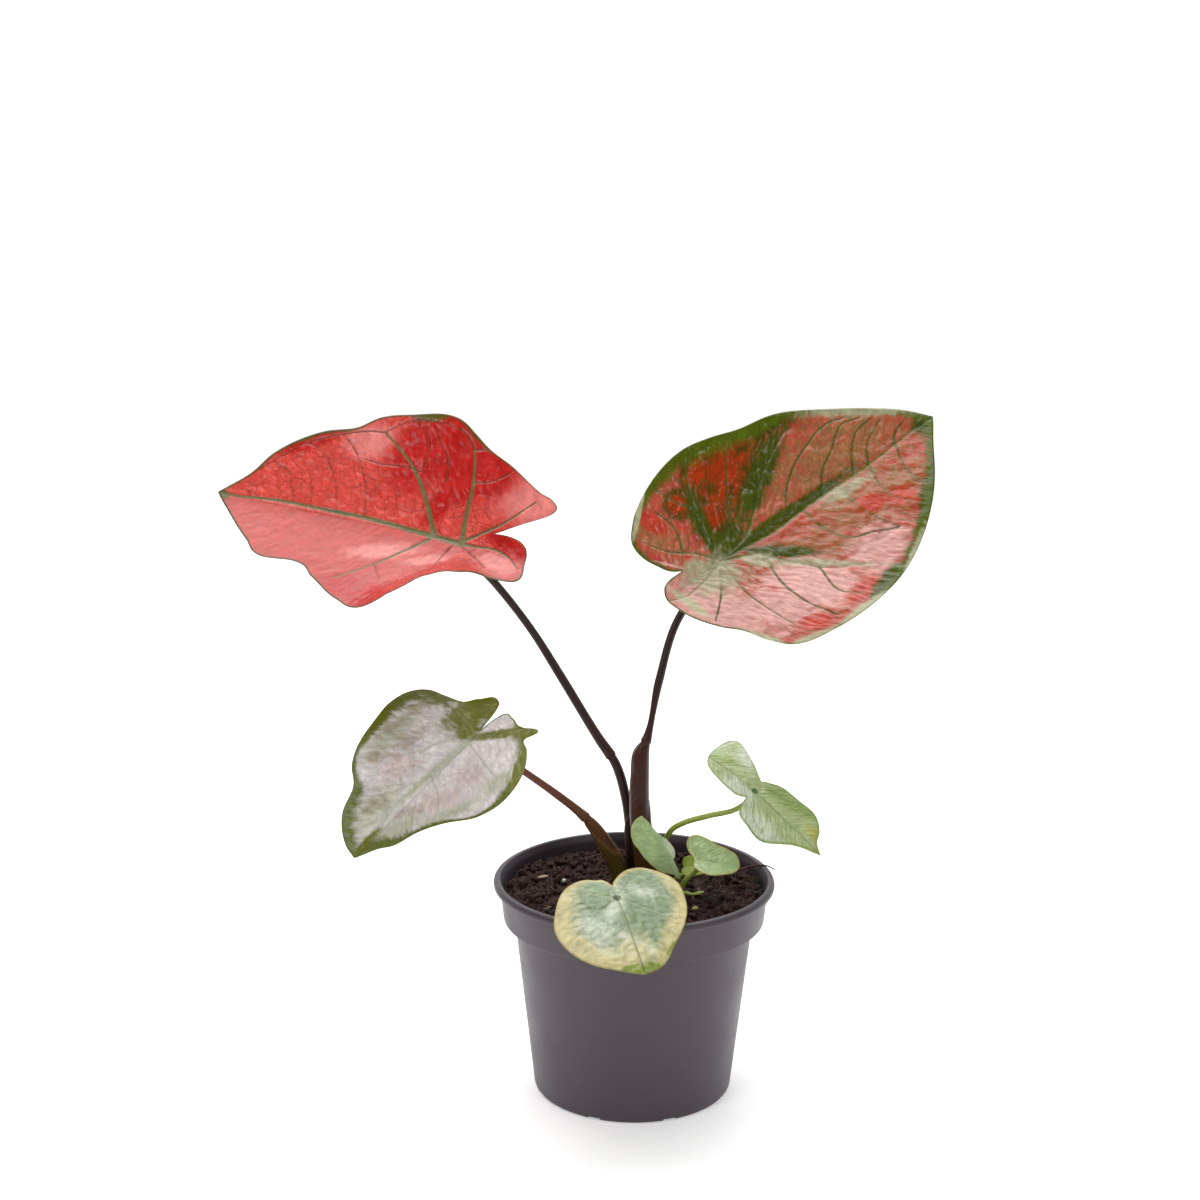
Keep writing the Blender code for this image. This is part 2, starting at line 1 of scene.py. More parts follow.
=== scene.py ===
# %% [markdown]
# # A young caladium in its nursery pot
# The real plant has thin, glossy, heart-shaped blades on long stems, and stands in dark peat in a
# grey plastic pot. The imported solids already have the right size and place. This lesson dresses
# them: each blade gets its veins, its puffed tissue and its painted zones, the peat gets crumbs and
# fibres, and the pot gets its moulded finish. The solids are loaded first, because every piece made
# below stands for one of them and rides on the same body.

# %% Load the solids and keep their box
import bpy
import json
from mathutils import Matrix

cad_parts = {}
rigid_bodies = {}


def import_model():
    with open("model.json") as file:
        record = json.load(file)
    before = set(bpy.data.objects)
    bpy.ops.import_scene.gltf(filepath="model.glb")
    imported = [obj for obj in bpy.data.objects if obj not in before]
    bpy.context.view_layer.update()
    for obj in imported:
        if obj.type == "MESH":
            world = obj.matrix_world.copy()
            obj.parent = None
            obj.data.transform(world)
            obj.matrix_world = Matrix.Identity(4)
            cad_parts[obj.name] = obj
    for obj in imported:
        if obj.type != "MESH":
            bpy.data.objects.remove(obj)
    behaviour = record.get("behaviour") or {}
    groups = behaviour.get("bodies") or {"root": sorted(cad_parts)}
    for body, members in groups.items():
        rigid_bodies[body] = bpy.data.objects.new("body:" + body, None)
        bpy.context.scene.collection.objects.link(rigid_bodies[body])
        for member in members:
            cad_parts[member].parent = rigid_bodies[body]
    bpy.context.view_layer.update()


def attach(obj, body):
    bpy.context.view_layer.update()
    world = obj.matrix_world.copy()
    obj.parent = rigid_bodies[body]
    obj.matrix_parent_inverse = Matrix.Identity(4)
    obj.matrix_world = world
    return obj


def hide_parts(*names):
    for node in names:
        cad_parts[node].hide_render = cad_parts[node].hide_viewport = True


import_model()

import json
import math

import bpy
import numpy as np
from mathutils import Matrix, Vector

MM = 0.001
BODY = "root"

# %% [markdown]
# ## Colours and nodes
# Colours are picked as sRGB hex, the way a screen shows them, but a renderer adds up light, so one
# function turns them to linear values. One more function adds a node, sets it and links it: with it
# a material reads as a list of steps.

# %% Helpers for materials
def linear(hex_colour):
    """sRGB hex to linear RGBA: each channel below 0.04045 is divided by 12.92, and each other one
    has 0.055 added, is divided by 1.055 and raised to the power 2.4."""
    srgb = np.array([int(hex_colour[i:i + 2], 16) for i in (1, 3, 5)]) / 255
    curved = ((srgb + 0.055) / 1.055) ** 2.4
    return (*np.where(srgb <= 0.04045, srgb / 12.92, curved).tolist(), 1.0)


def add_node(material, kind, settings, inputs, output=0):
    """Add one node with its settings; each input is a constant or another node's output."""
    node = material.node_tree.nodes.new(kind)
    for name, value in settings.items():
        setattr(node, name, value)
    for name, value in inputs.items():
        if isinstance(value, bpy.types.NodeSocket):
            material.node_tree.links.new(value, node.inputs[name])
        else:
            node.inputs[name].default_value = value
    return node.outputs[output]


def new_material(name, **inputs):
    """A Principled material with constants set on its inputs, and its shader node."""
    material = bpy.data.materials.new(name)
    material.use_nodes = True
    shader = material.node_tree.nodes["Principled BSDF"]
    for label, value in inputs.items():
        shader.inputs[label.replace("_", " ")].default_value = value
    return material, shader


def connect(material, shader, **outputs):
    """Link node outputs to the shader's inputs of those names, with _ for a space."""
    for label, output in outputs.items():
        material.node_tree.links.new(output, shader.inputs[label.replace("_", " ")])


print("middle grey in linear light:", [round(value, 3) for value in linear("#808080")])

# %% [markdown]
# ## From arrays to meshes
# Every shape below is worked out as whole arrays of points. This helper puts such arrays into a
# mesh, adds the measures that its material reads, and ties the piece to the frame.

# %% Put arrays into a mesh
def add_piece(name, points, quads, measures, material, nodes, triangles=None):
    """Mesh from points in millimetres and faces of point numbers, one measured value a point."""
    mesh = bpy.data.meshes.new(name)
    faces = quads.tolist() + (triangles.tolist() if triangles is not None else [])
    mesh.from_pydata((points * MM).tolist(), [], faces)
    for label, values in measures.items():
        layer = mesh.attributes.new(label, "FLOAT", "POINT")
        layer.data.foreach_set("value", np.ascontiguousarray(values, np.float32))
    mesh.polygons.foreach_set("use_smooth", np.ones(len(mesh.polygons), bool))
    mesh.materials.append(material)
    mesh.update()
    piece = bpy.data.objects.new(name, mesh)
    bpy.context.scene.collection.objects.link(piece)
    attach(piece, BODY)
    if nodes:
        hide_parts(*nodes)
    made = sum(len(face) - 2 for face in faces)
    print(f"{name}: {made} triangles")
    return piece


# %% [markdown]
# ## Soft randomness
# Living tissue and peat are never even. Random numbers on a lattice, blended smoothly between its
# knots, give lumps of a chosen size. Random cells with one seed point each give the net of fine
# veins: the border between two cells is where the two nearest seeds are equally far.

# %% Lumps and cells
LATTICE = 64
SEED_ROOM = (0.12, 0.88)


def lumps(x, y, size, seed):
    """Value noise from -1 to 1: random lattice knots `size` apart, blended by 3t^2 - 2t^3."""
    table = np.random.default_rng(seed).uniform(-1, 1, (LATTICE, LATTICE))
    p, q = x / size + 17.3, y / size + 9.7
    i, j = np.floor(p).astype(int), np.floor(q).astype(int)
    s, t = p - i, q - j
    s, t = s * s * (3 - 2 * s), t * t * (3 - 2 * t)
    i, j, i_next, j_next = (knot % LATTICE for knot in (i, j, i + 1, j + 1))
    near = table[i, j] * (1 - s) + table[i_next, j] * s
    far = table[i, j_next] * (1 - s) + table[i_next, j_next] * s
    return near * (1 - t) + far * t


def cell_borders(p, q, seed):
    """1 on the border of two random cells, 0 well inside one: one minus the difference of the
    distances to the second nearest and the nearest seed, one seed in each unit square."""
    table = np.random.default_rng(seed).uniform(*SEED_ROOM, (LATTICE, LATTICE, 2))
    i, j = np.floor(p).astype(int), np.floor(q).astype(int)
    nearest = np.full(p.shape, 9.0)
    second = np.full(p.shape, 9.0)
    for step_i in (-1, 0, 1):
        for step_j in (-1, 0, 1):
            place = table[(i + step_i) % LATTICE, (j + step_j) % LATTICE]
            away = np.hypot(i + step_i + place[..., 0] - p, j + step_j + place[..., 1] - q)
            second = np.minimum(second, np.maximum(nearest, away))
            nearest = np.minimum(nearest, away)
    return 1 - np.clip(second - nearest, 0, 1)


def cubic(part, span, start, start_slope, end, end_slope):
    """Cubic with the right ends and slopes, t running from 0 to 1 over the span: (2t^3 - 3t^2 + 1)
    start + (t^3 - 2t^2 + t) span slope + (3t^2 - 2t^3) end + (t^3 - t^2) span slope."""
    return ((2 * part ** 3 - 3 * part ** 2 + 1) * start
            + (part ** 3 - 2 * part ** 2 + part) * span * start_slope
            + (3 * part ** 2 - 2 * part ** 3) * end
            + (part ** 3 - part ** 2) * span * end_slope)


def smooth_curve(points, step):
    """Curve through the points, sampled every `step`: a cubic between two points, over the
    distance walked along the chords."""
    points = np.asarray(points, float)
    walked = np.r_[0, np.cumsum(np.linalg.norm(np.diff(points[:, :3], axis=0), axis=1))]
    slope = np.gradient(points, walked, axis=0)
    at = np.linspace(0, walked[-1], max(4, int(walked[-1] / step)))
    low = np.clip(np.searchsorted(walked, at, side="right") - 1, 0, len(walked) - 2)
    span = (walked[low + 1] - walked[low])[:, None]
    part = (at - walked[low])[:, None] / span
    return cubic(part, span, points[low], slope[low], points[low + 1], slope[low + 1])


print("noise sample:", float(lumps(np.array(3.0), np.array(4.0), 5, 1)))

# %% [markdown]
# ## Rings of points
# Stems, the pot, crumbs and fibres are all stacks of rings. Each ring is joined to the next by
# quads, and a fan of triangles to one more point closes either end.

# %% Faces between rings
def ring_quads(number, flipped=False):
    """Quads from each ring of point numbers to the next. Their fronts face outwards where the
    rings turn anticlockwise to someone who looks along the stack, and flipped where clockwise."""
    after = np.roll(number, -1, axis=1)
    corners = ((number[:-1], after[:-1], after[1:], number[1:]) if flipped
               else (number[:-1], number[1:], after[1:], after[:-1]))
    return np.stack(corners, -1).reshape(-1, 4)


def ring_faces(rings, sides, flipped=False):
    """Quads of a stack of rings, and the fans that close it on the two points after them."""
    number = np.arange(rings * sides).reshape(rings, sides)
    low, high = number, np.roll(number, -1, axis=1)
    if flipped:
        low, high = high, low
    fans = [np.stack([low[0], high[0], np.full(sides, number.size)], 1),
            np.stack([high[-1], low[-1], np.full(sides, number.size + 1)], 1)]
    return ring_quads(number, flipped), np.concatenate(fans)


print("a stack of 3 rings of 8 has", len(ring_faces(3, 8)[0]), "quads")

# %% [markdown]
# ## The leaves' measures
# A caladium blade is a heart or an arrowhead whose stem joins it near the notch. It is given by
# the margin's distance from a hub in some directions, a fold along the midrib and a few ripples.
# These are the numbers of the solids, in millimetres and degrees, so the dressed blades lie on
# them. They are no free design: points picked on the photograph were turned into measures of the
# blade with the fitted camera, and some were moved afterwards. The same holds for most points of
# the veins and the stems and for some of the zones below.

# %% Blade shapes
BLADES = {
    "left_coral": dict(
        joint=(-73.3, 12.0, 236.7), heading=165.3, pitch=7.9, roll=-44, hub=10, fold=(0.32, 0.22),
        lobe_sag=4, length=112, ripples=((102, 26, 12, 28), (-62, 18, 3, 58)),
        outline=((0, 102), (6, 93), (16, 82), (25, 74), (29, 62), (41, 56), (60, 54), (76, 52),
                 (84, 41), (88, 34.5), (92, 28.5), (106, 26), (127, 28), (143, 28), (151, 34),
                 (160, 41), (174, 39), (190, 35), (195, 29), (198, 23), (204, 36), (206, 46),
                 (208, 50), (213, 50), (220, 46), (244, 43), (258, 44), (268, 48), (277, 53),
                 (298, 57), (312, 63), (322, 66), (331, 75), (345, 87), (353, 92), (360, 102)),
        sinus=198),
    "right_red_green": dict(
        joint=(34.8, 18.0, 228.2), heading=24.3, pitch=29.3, roll=42, hub=10, fold=(0.14, 0.14),
        sag=2, lobe_sag=4, length=117,
        ripples=((62, 22, 3, 57), (-75, 20, 3, 60), (-40, 14, -2, 72), (-150, 25, 2, 35)),
        outline=((0, 107), (6, 99), (12, 90), (22, 78), (38, 65.5), (51, 55.5), (65, 51.5),
                 (81, 50), (108, 47), (130, 46), (140, 45), (148, 41), (156, 35), (163, 30),
                 (166, 26), (169, 33), (175, 37), (192, 38), (222, 39), (236, 41), (248, 48),
                 (257, 54), (276, 59), (300, 66), (324, 77), (345, 91), (354, 99), (360, 107)),
        sinus=166),
    "lower_left_silver": dict(
        joint=(-66.1, -18.0, 161.0), heading=-153.4, pitch=-40, roll=-40, hub=3, fold=(0.35, 0.05),
        lobe_sag=2, length=70, ripples=((75, 20, 2, 34), (-50, 20, 2, 46), (-120, 18, 2, 26)),
        outline=((0, 67), (4, 59), (10, 53), (16, 45), (29, 38), (56, 36), (73, 35), (85, 33),
                 (100, 30), (119, 26), (131, 24), (136, 29), (139, 29), (145, 23), (162, 20),
                 (176, 17), (183, 6), (187, 18), (192, 21), (214, 19), (237, 18), (254, 24),
                 (261, 29), (273, 35), (286, 39), (301, 42), (324, 50), (335, 52), (343, 60),
                 (354, 66), (360, 67)),
        sinus=183),
    "right_drooping": dict(
        joint=(50.2, -2.0, 133.9), heading=-36, pitch=-33, roll=35, hub=4, fold=(-0.4, -0.1),
        lobe_sag=4, length=40, ripples=((25, 15, 1.5, 27), (-60, 20, 1, 16)),
        outline=((0, 36), (4, 32), (15, 29), (30, 24), (45, 17), (80, 11), (120, 8), (138, 10),
                 (146, 21), (150, 31), (156, 34), (168, 33), (186, 29), (198, 20), (212, 13),
                 (222, 10), (230, 6), (240, 7), (252, 9), (268, 12), (295, 15), (315, 20),
                 (338, 23), (349, 26), (355, 30), (360, 36)),
        sinus=230),
    "front_low": dict(
        joint=(-6.7, -56.0, 105.2), heading=-69.8, pitch=-26.4, roll=0, hub=0, fold=(-0.08, -0.08),
        sag=3, lobe_sag=3, length=40, ripples=((60, 20, 1.5, 29), (-100, 20, 1.5, 24)),
        outline=((0, 38), (14, 36), (31, 31), (54, 29), (89, 29), (107, 30), (129, 28), (140, 26),
                 (151, 21), (162, 14), (175, 8), (190, 13), (200, 14), (211, 17), (231, 20),
                 (256, 23), (272, 26), (294, 32), (318, 35), (345, 36), (360, 38)),
        sinus=175),
    "middle_small": dict(
        joint=(12.5, -13.0, 109.8), heading=144, pitch=49, roll=-20, hub=2, fold=(0.1, -0.9),
        lobe_sag=2, length=18, softness=2, ripples=(),
        outline=((0, 16), (15, 16), (34, 15), (56, 13), (70, 11), (93, 10), (142, 10), (180, 12),
                 (194, 15), (202, 13), (208, 7), (226, 8), (259, 9), (290, 8), (325, 7),
                 (348, 10), (360, 16)),
        sinus=208),
    "oval_small": dict(
        joint=(26.4, -14.0, 106.6), heading=-7, pitch=-1, roll=38, hub=4, fold=(0.15, 0.55),
        sag=2, lobe_sag=2, length=17, softness=3, ripples=(),
        outline=((0, 14), (22, 13), (37, 11), (67, 9), (98, 11), (114, 13), (126, 14), (136, 13),
                 (148, 10), (164, 6), (180, 5), (215, 6), (256, 7), (290, 9), (315, 10),
                 (345, 13), (360, 14)),
        sinus=180),
    "hidden_young": dict(
        joint=(22.5, -1.0, 99.2), heading=-10, pitch=4, roll=40, hub=3, fold=(0.2, 0.2),
        sag=1, lobe_sag=1, length=12, softness=2, ripples=(),
        outline=((0, 9), (20, 7), (60, 5), (100, 5), (140, 6), (170, 5), (180, 4), (190, 5),
                 (220, 6), (260, 5), (300, 5), (340, 7), (360, 9)),
        sinus=180),
}
SOFTNESS, LOBE_SHARE, RIPPLE_LIMIT = 6.0, 0.4, 1.6


def blade_axes(blade):
    """Unit vectors along the midrib, to its left and out of the upper face: the midrib points to
    its heading and pitch, and the other two turn about it by the roll."""
    heading, pitch, roll = (math.radians(blade[key]) for key in ("heading", "pitch", "roll"))
    along = np.array([math.cos(pitch) * math.cos(heading), math.cos(pitch) * math.sin(heading),
                      math.sin(pitch)])
    level = np.array([-math.sin(heading), math.cos(heading), 0.0])
    upright = np.cross(along, level)
    left = math.cos(roll) * level + math.sin(roll) * upright
    return along, left, -math.sin(roll) * level + math.cos(roll) * upright


def blade_bend(blade, x, y):
    """Height over the blade's plane: each half rises away from the midrib at its own slope, tip
    and lobes sag with a power of their distance, and each ripple lifts a soft wedge."""
    softness = blade.get("softness", SOFTNESS)
    slope = np.where(y > 0, blade["fold"][0], blade["fold"][1])
    height = slope * (np.sqrt(y * y + softness * softness) - softness)
    height = height - blade.get("sag", 0) * np.clip(x / blade["length"], 0, None) ** 2
    lobe_reach = LOBE_SHARE * blade["length"]
    height = height - blade["lobe_sag"] * np.clip(-x / lobe_reach, 0, None) ** 1.5
    angle, reach = np.degrees(np.arctan2(y, x)), np.hypot(x, y)
    for middle, width, lift, distance in blade["ripples"]:
        turn = (angle - middle + 180) % 360 - 180
        wedge = np.exp(-(turn / width) ** 2)
        height = height + lift * np.clip(reach / distance, 0, RIPPLE_LIMIT) ** 2 * wedge
    return height


def edge_radius(blade, angles):
    """Distance from the hub to the margin: a cubic through the outline's knots, with a corner at
    the tip and at the notch."""
    turn, radius = np.array(blade["outline"], float).T
    steps = np.diff(radius) / np.diff(turn)
    slope = np.concatenate([steps[:1], (steps[:-1] + steps[1:]) / 2, steps[-1:]])
    sharp = int(np.argmin(np.abs(turn - blade["sinus"])))
    low = np.clip(np.searchsorted(turn, angles, side="right") - 1, 0, len(turn) - 2)
    span = turn[low + 1] - turn[low]
    part = (angles - turn[low]) / span
    start = np.where(low == sharp, steps[low], slope[low])
    end = np.where(low + 1 == sharp, steps[low], slope[low + 1])
    return cubic(part, span, radius[low], start, radius[low + 1], end)


print("blades:", ", ".join(BLADES))

# %% [markdown]
# ## Veins
# Main ribs fan out from the joint and side veins leave them towards the margin. Each is a row of
# points on the flat blade, most of them picked on the photograph as above: x along the midrib, y
# to its left. The two widths are at its root and at its end. On the real leaf a rib is a groove
# above and a rounded cord beneath.

# %% Veins of each blade: (width at the root, width at the end, points)
RIBS = {
    "left_coral": {
        "midrib": (1.5, 0.5, ((0, 1), (14, 0), (28, -1), (45, -2), (58, -2), (70, -2), (81, -2),
                              (93, -1), (103, 0), (111, 0))),
        "far_front": (1.2, 0.45, ((13, -1), (18, -10), (25, -21), (33, -30), (42, -37), (48, -41))),
        "far_back": (1.2, 0.5, ((0, 0), (2, -11), (3, -25), (5, -34), (7, -41))),
        "near_front": (0.9, 0.35, ((14, 2), (23, 13), (30, 22), (38, 30), (43, 35))),
        "near_lobe": (0.8, 0.3, ((0, 1), (-6, 1), (-13, 0), (-21, 2), (-27, 7))),
        "far_lobe": (0.8, 0.3, ((0, 0), (-7, -6), (-13, -11), (-20, -19), (-25, -25))),
    },
    "right_red_green": {
        "midrib": (1.3, 0.5, ((0, 0), (12, -1), (28, -3), (44, -2), (60, -2), (78, -2), (95, -1),
                              (107, 0), (116, 0))),
        "left_back": (1.1, 0.4, ((0, 0), (2, 12), (6, 25), (10, 34), (14, 42))),
        "left_front": (1.2, 0.5, ((2, 0), (16, 3), (27, 11), (36, 19), (50, 27), (67, 35))),
        "right_front": (1.0, 0.4, ((2, -1), (15, -8), (24, -21), (34, -33), (44, -39), (53, -45))),
        "right_back": (0.8, 0.3, ((0, -2), (-1, -20), (1, -33), (4, -46))),
        "left_lobe": (0.8, 0.3, ((0, 1), (-6, 9), (-14, 16), (-20, 26), (-22, 31))),
        "right_lobe": (0.8, 0.3, ((-1, -1), (-13, -4), (-22, -4), (-28, -1))),
    },
    "lower_left_silver": {
        "midrib": (0.9, 0.4, ((0, 0), (8, 0), (14, -1), (24, -2), (35, -3), (46, -3), (56, -2),
                              (69, 0))),
        "near_lobe": (0.8, 0.3, ((0, 0), (-5, 6), (-11, 10), (-16, 14), (-19, 20))),
        "far_lobe": (0.6, 0.3, ((0, 0), (-5, -1), (-10, -2), (-17, -1))),
        "far_front": (0.6, 0.25, ((2, -1), (8, -7), (20, -13), (34, -24))),
        "far_back": (0.5, 0.25, ((0, -1), (-1, -10), (-2, -19))),
        "near_front": (0.5, 0.25, ((4, 0), (6, 11), (8, 24))),
    },
    "right_drooping": {
        "midrib": (0.7, 0.3, ((0, 0), (8, 0), (18, 0), (28, 1), (39, 0))),
        "upper_lobe": (0.5, 0.2, ((0, 0), (-8, 3), (-18, 8), (-27, 13))),
        "lower_lobe": (0.4, 0.2, ((0, 0), (-10, -3), (-22, -2))),
        "left_side": (0.4, 0.2, ((2, 0), (9, 7), (20, 12))),
        "right_side": (0.4, 0.2, ((2, 0), (9, -9), (18, -11))),
    },
    "front_low": {
        "midrib": (0.7, 0.3, ((0, 0), (11, 0), (23, 0), (37, 0))),
        "left_back": (0.5, 0.2, ((0, 0), (-4, 9), (-9, 22))),
        "left_front": (0.5, 0.2, ((0, 0), (7, 11), (15, 22))),
        "right_back": (0.5, 0.2, ((0, 0), (-4, -8), (-9, -16))),
        "right_front": (0.5, 0.2, ((0, 0), (9, -13), (18, -24))),
        "left_lobe": (0.4, 0.2, ((0, 0), (-9, 8), (-16, 14))),
    },
    "middle_small": {
        "midrib": (0.5, 0.25, ((0, 0), (6, 0), (17, 0))),
        "left_side": (0.35, 0.2, ((0, 0), (5, 5), (10, 9))),
        "lobe": (0.35, 0.2, ((0, 0), (-6, -1), (-13, -3))),
    },
    "oval_small": {
        "midrib": (0.5, 0.25, ((0, 0), (8, 0), (17, 0))),
        "left_side": (0.35, 0.2, ((1, 0), (5, 4), (9, 7))),
        "lobe": (0.35, 0.2, ((0, 0), (-3, 6), (-4, 12))),
    },
    "hidden_young": {"midrib": (0.4, 0.2, ((0, 0), (5, 0), (11, 0)))},
}
SIDE_VEINS = {
    "left_coral": (
        ((7, -41), (12, -47), (21, -49), (29, -49), (39, -47), (48, -41)),
        ((45, -3), (49, -16), (54, -25), (61, -33), (66, -37)),
        ((58, -2), (62, -14), (68, -23), (76, -29), (81, -30)),
        ((78, -2), (81, -10), (85, -16), (93, -19)), ((95, -1), (98, -5), (101, -8)),
        ((70, -2), (73, -13), (78, -20), (83, -24)), ((26, -27), (35, -28), (45, -27), (54, -28)),
        ((15, -25), (17, -35), (23, -42), (25, -46)), ((26, -29), (27, -38), (31, -46)),
        ((3, -27), (-4, -29), (-11, -35), (-14, -39)), ((7, -41), (0, -43), (-9, -40), (-16, -36)),
        ((30, 23), (25, 30)), ((3, 2), (5, 9), (6, 17)), ((0, 2), (-7, 6), (-14, 11)),
        ((48, -41), (57, -40), (66, -37), (81, -30), (93, -19), (102, -9)),
    ),
    "right_red_green": (
        ((6, 25), (1, 33), (-2, 42)), ((35, -2), (42, 8), (52, 16), (61, 20), (78, 24), (90, 20)),
        ((53, -3), (62, 8), (71, 13), (82, 20), (91, 18)), ((71, -2), (79, 9), (86, 14), (95, 15)),
        ((79, -2), (85, 6), (96, 12)), ((94, -1), (99, 4), (106, 6)),
        ((43, -3), (44, -15), (49, -26), (59, -30), (68, -35)),
        ((62, -3), (62, -17), (65, -27), (69, -35)), ((79, -3), (76, -19), (81, -29)),
        ((95, -1), (90, -15), (91, -25)), ((16, -10), (13, -27), (15, -41), (20, -54)),
        ((30, -29), (29, -45), (36, -52)), ((-2, -4), (-11, -15), (-19, -22)),
        ((10, 1), (16, 14), (24, 26), (33, 38)), ((-10, 12), (-6, 24), (-8, 34)),
    ),
    "lower_left_silver": (
        ((49, -19), (43, -14), (36, -9), (30, -3)), ((24, -2), (29, 8), (36, 17)),
        ((40, -3), (45, 5), (49, 11)), ((20, -2), (27, -11), (36, -17)),
    ),
}
print("ribs:", sum(len(ribs) for ribs in RIBS.values()))

# %% [markdown]
# ## Painted zones
# Caladiums are prized for colour zones that bleed into each other. Each zone is a handful of soft
# ovals, given by a centre and two half axes in millimetres on the blade. The material later
# breaks their borders up with noise, as cells in the real tissue do. Some zones are painted light
# and shade: sheen and highlights, and the shade of crinkles and dimples.

# %% Zones: name, then ovals as (x, y, first half axis x, y, second half axis x, y)
ZONES = {
    "left_coral": {
        "deep": ((26, -37, -14, -13, -6, 13), (0, -34, -12, 5, 4, 12), (9, -27, -9, 0, -1, 10),
                 (30, 42, -15, 2, -3, 8), (79, -32, -12, -7, -1, 4), (-19, -3, -9, 4, 2, 3),
                 (15, -14, -5, -2, 1, 8)),
        # pale: light pink tissue on the far lobe; the ovals on the near half (y > 0) are painted
        # highlights.
        "pale": ((53, -36, -10, -3, -2, 7), (-24, -24, -16, 3, 4, 10), (-19, 7, -9, 1, -1, 5),
                 (30, 14, -14, -5, -2, 4), (10, 14, -9, -3, 2, 4)),
        "green": ((31, -51, -8, -1, -1, 3), (85, -33, -14, -7, -1, 3), (110, 0, -4, 1, -1, 3),
                  (2, -49, -9, 3, 1, 3)),
    },
    "right_red_green": {
        "orange": ((27, 32, 15, 1, -8, -15), (38, 40, 16, -1, -2, -7), (18, 38, 8, 0, -4, -9),
                   (10, 18, 6, 6, -5, 5), (2, 31, 4, 4, -3, 4)),
        # Pale pink over the right half and the lobes: painted sheen of the overhead softbox.
        "pink_sheen": ((-14, -18, 13, -24, -10, -7), (23, -34, 15, -12, -6, -12),
                  (56, -38, 13, -6, -8, -9), (4, -34, 10, -14, -9, -5), (-18, 12, 6, -8, -3, 3)),
        "spots": ((11, -50, 6, -4, -2, -3), (35, -50, 7, -1, -4, -4), (79, -23, 7, -3, -3, -4),
                  (67, -18, 7, -3, -3, -4), (-12, 31, 2, -8, -4, -1)),
        "moss": ((40, 22, 22, 14, 3, -4), (30, 0.5, 42, 0, -1, -3), (112, 1, 6, 0, -2, -5),
                 (46, -54, 12, 5, 1, -4), (4, 16, 4, 16, 3, -1), (22, -12, 12, -11, -2, -2),
                 (8, 5, 10, 5, -3, 5), (52, 42, 16, -8, 3, 6), (84, -36, 14, 14, 3, -3)),
        # milky: a pale whitish tint, partly the tissue's own colour and partly painted sheen.
        "milky": ((-6, -4, 7, -10, -9, -4), (93, 21, 22, -14, -2, -2.5), (14, -11, 5, -6, -3, -2),
                  (62, -6, 14, -1, -1, -3), (32, -28, 18, -16, -1, -1.4), (-10, 4, 4, -4, -4, -3)),
        # A pale whitish margin, partly the edge's own colour and partly painted sheen.
        "pale_margin_and_sheen": ((-9, -43, 5, -10, 2, 1.2), (6, -56, 11, -4, 0.8, 2.2),
                     (32, -58.5, 16, 0, 0, 2.6), (-13, 39, 11, 10, -0.8, 0.9),
                     (97, 22, 14, -12, -1, -1.4), (-22, -8, 2, -12, -2, 0),
                     (64, -50, 14, 9, 1, -2)),
        "tan": ((70, 10, 44, -4, 2, 16), (74, -18, 34, -4, 0, 14), (30, -20, 24, -12, -6, -9),
                (-14, 26, 5, -12, -6, -4)),
    },
    "lower_left_silver": {
        # Beige-brown: partly the tissue's tone, partly painted shade in the crinkled band inside
        # the margin.
        "beige": ((6, -26, -9, 5, 1.5, 3), (41, 3, -8, 6, 2, 2), (34, -24, -7, 3, 2, 3),
                  (22, -29, -8, 2, 1, 3), (20, -20, -10, 3, 1, 5), (48, -10, -8, 4, 2, 4)),
        "rosy": ((29, 10, -9, 7, 3, 4), (31, -15, -8, 4, 4, 5), (14, 12, -7, 3, 2, 5)),
        "leafy": ((-9, -9, -14, 6, 7, 5), (0, -5, -6, 1, 1, 4), (-9, 9, -13, 12, 1.5, 1.5),
                  (-15, 16, -5, 6, 3, 3), (28, -35, -14, -1, 1, 3),
                  (62, -1, 8, 0, 0, 1.4), (-2, 28, 9, 6, -1.6, 2.4)),
        "misty": ((50, -8, -14, 2, 5, 6), (22, -27, -18, 1, 1, 5), (8, 25, -8, 4, 1, 4),
                  (52, 4, -14, 6, 2, 4), (30, 18, -14, 7, 1, 3), (22, -2, -22, 1, 0, 2)),
    },
    "right_drooping": {
        # milky: pale flanks, partly the tissue's own colour and partly painted sheen.
        "milky": ((-5, -5, 6, 2, -6, 3), (-27, 9, 2, 8, -2, -5), (13, -12, 9, 4, -8, 4),
                  (-14, 11, 6, -2, 2, 3)),
        "grassy": ((17, 9, 15, 3, -3, -4), (-20, 3, 9, 2, -4, -3), (-28, 14, 3, 3, 2, -2)),
        "straw": ((32, 5, 4, -2, -3, -2), (37, 0, 2, 0, 0, 2)),
        # Dark spot where the stem joins: painted shade in the dimple.
        "dimple_shade": ((0.5, 0, 1.6, 0, 0, 1.2),),
    },
    "front_low": {
        "cream": ((24, -16, 10, 8, -9, -5), (2, -27, 14, -4, 0, 6), (14, 24, -9, 7, 3, 4),
                  (-8, 27, 6, 3, -3, 3), (30, -2, 6, -8, -8, -4)),
        # milky: painted sheen, a pale whitish gloss over the middle and the lower side.
        "milky": ((25, 3, 9, 11, -7, -4), (14, -14, 12, 6, -4, 5), (-3, 12, 3, 6, -3, 2),
                  (28, -10, 6, 8, -6, -4), (4, -2, 10, -6, 1, 3)),
        "grassy": ((37, 1, -2, 9, -4, -1), (27, 15, -4, 3, 2, -3), (36, -8, -3, 5, -2, -1)),
        # Dark spot where the stem joins: painted shade in the dimple.
        "dimple_shade": ((-0.5, 0, 1.7, 0, 0, 2),),
    },
}
print("zones:", sum(len(zones) for zones in ZONES.values()))

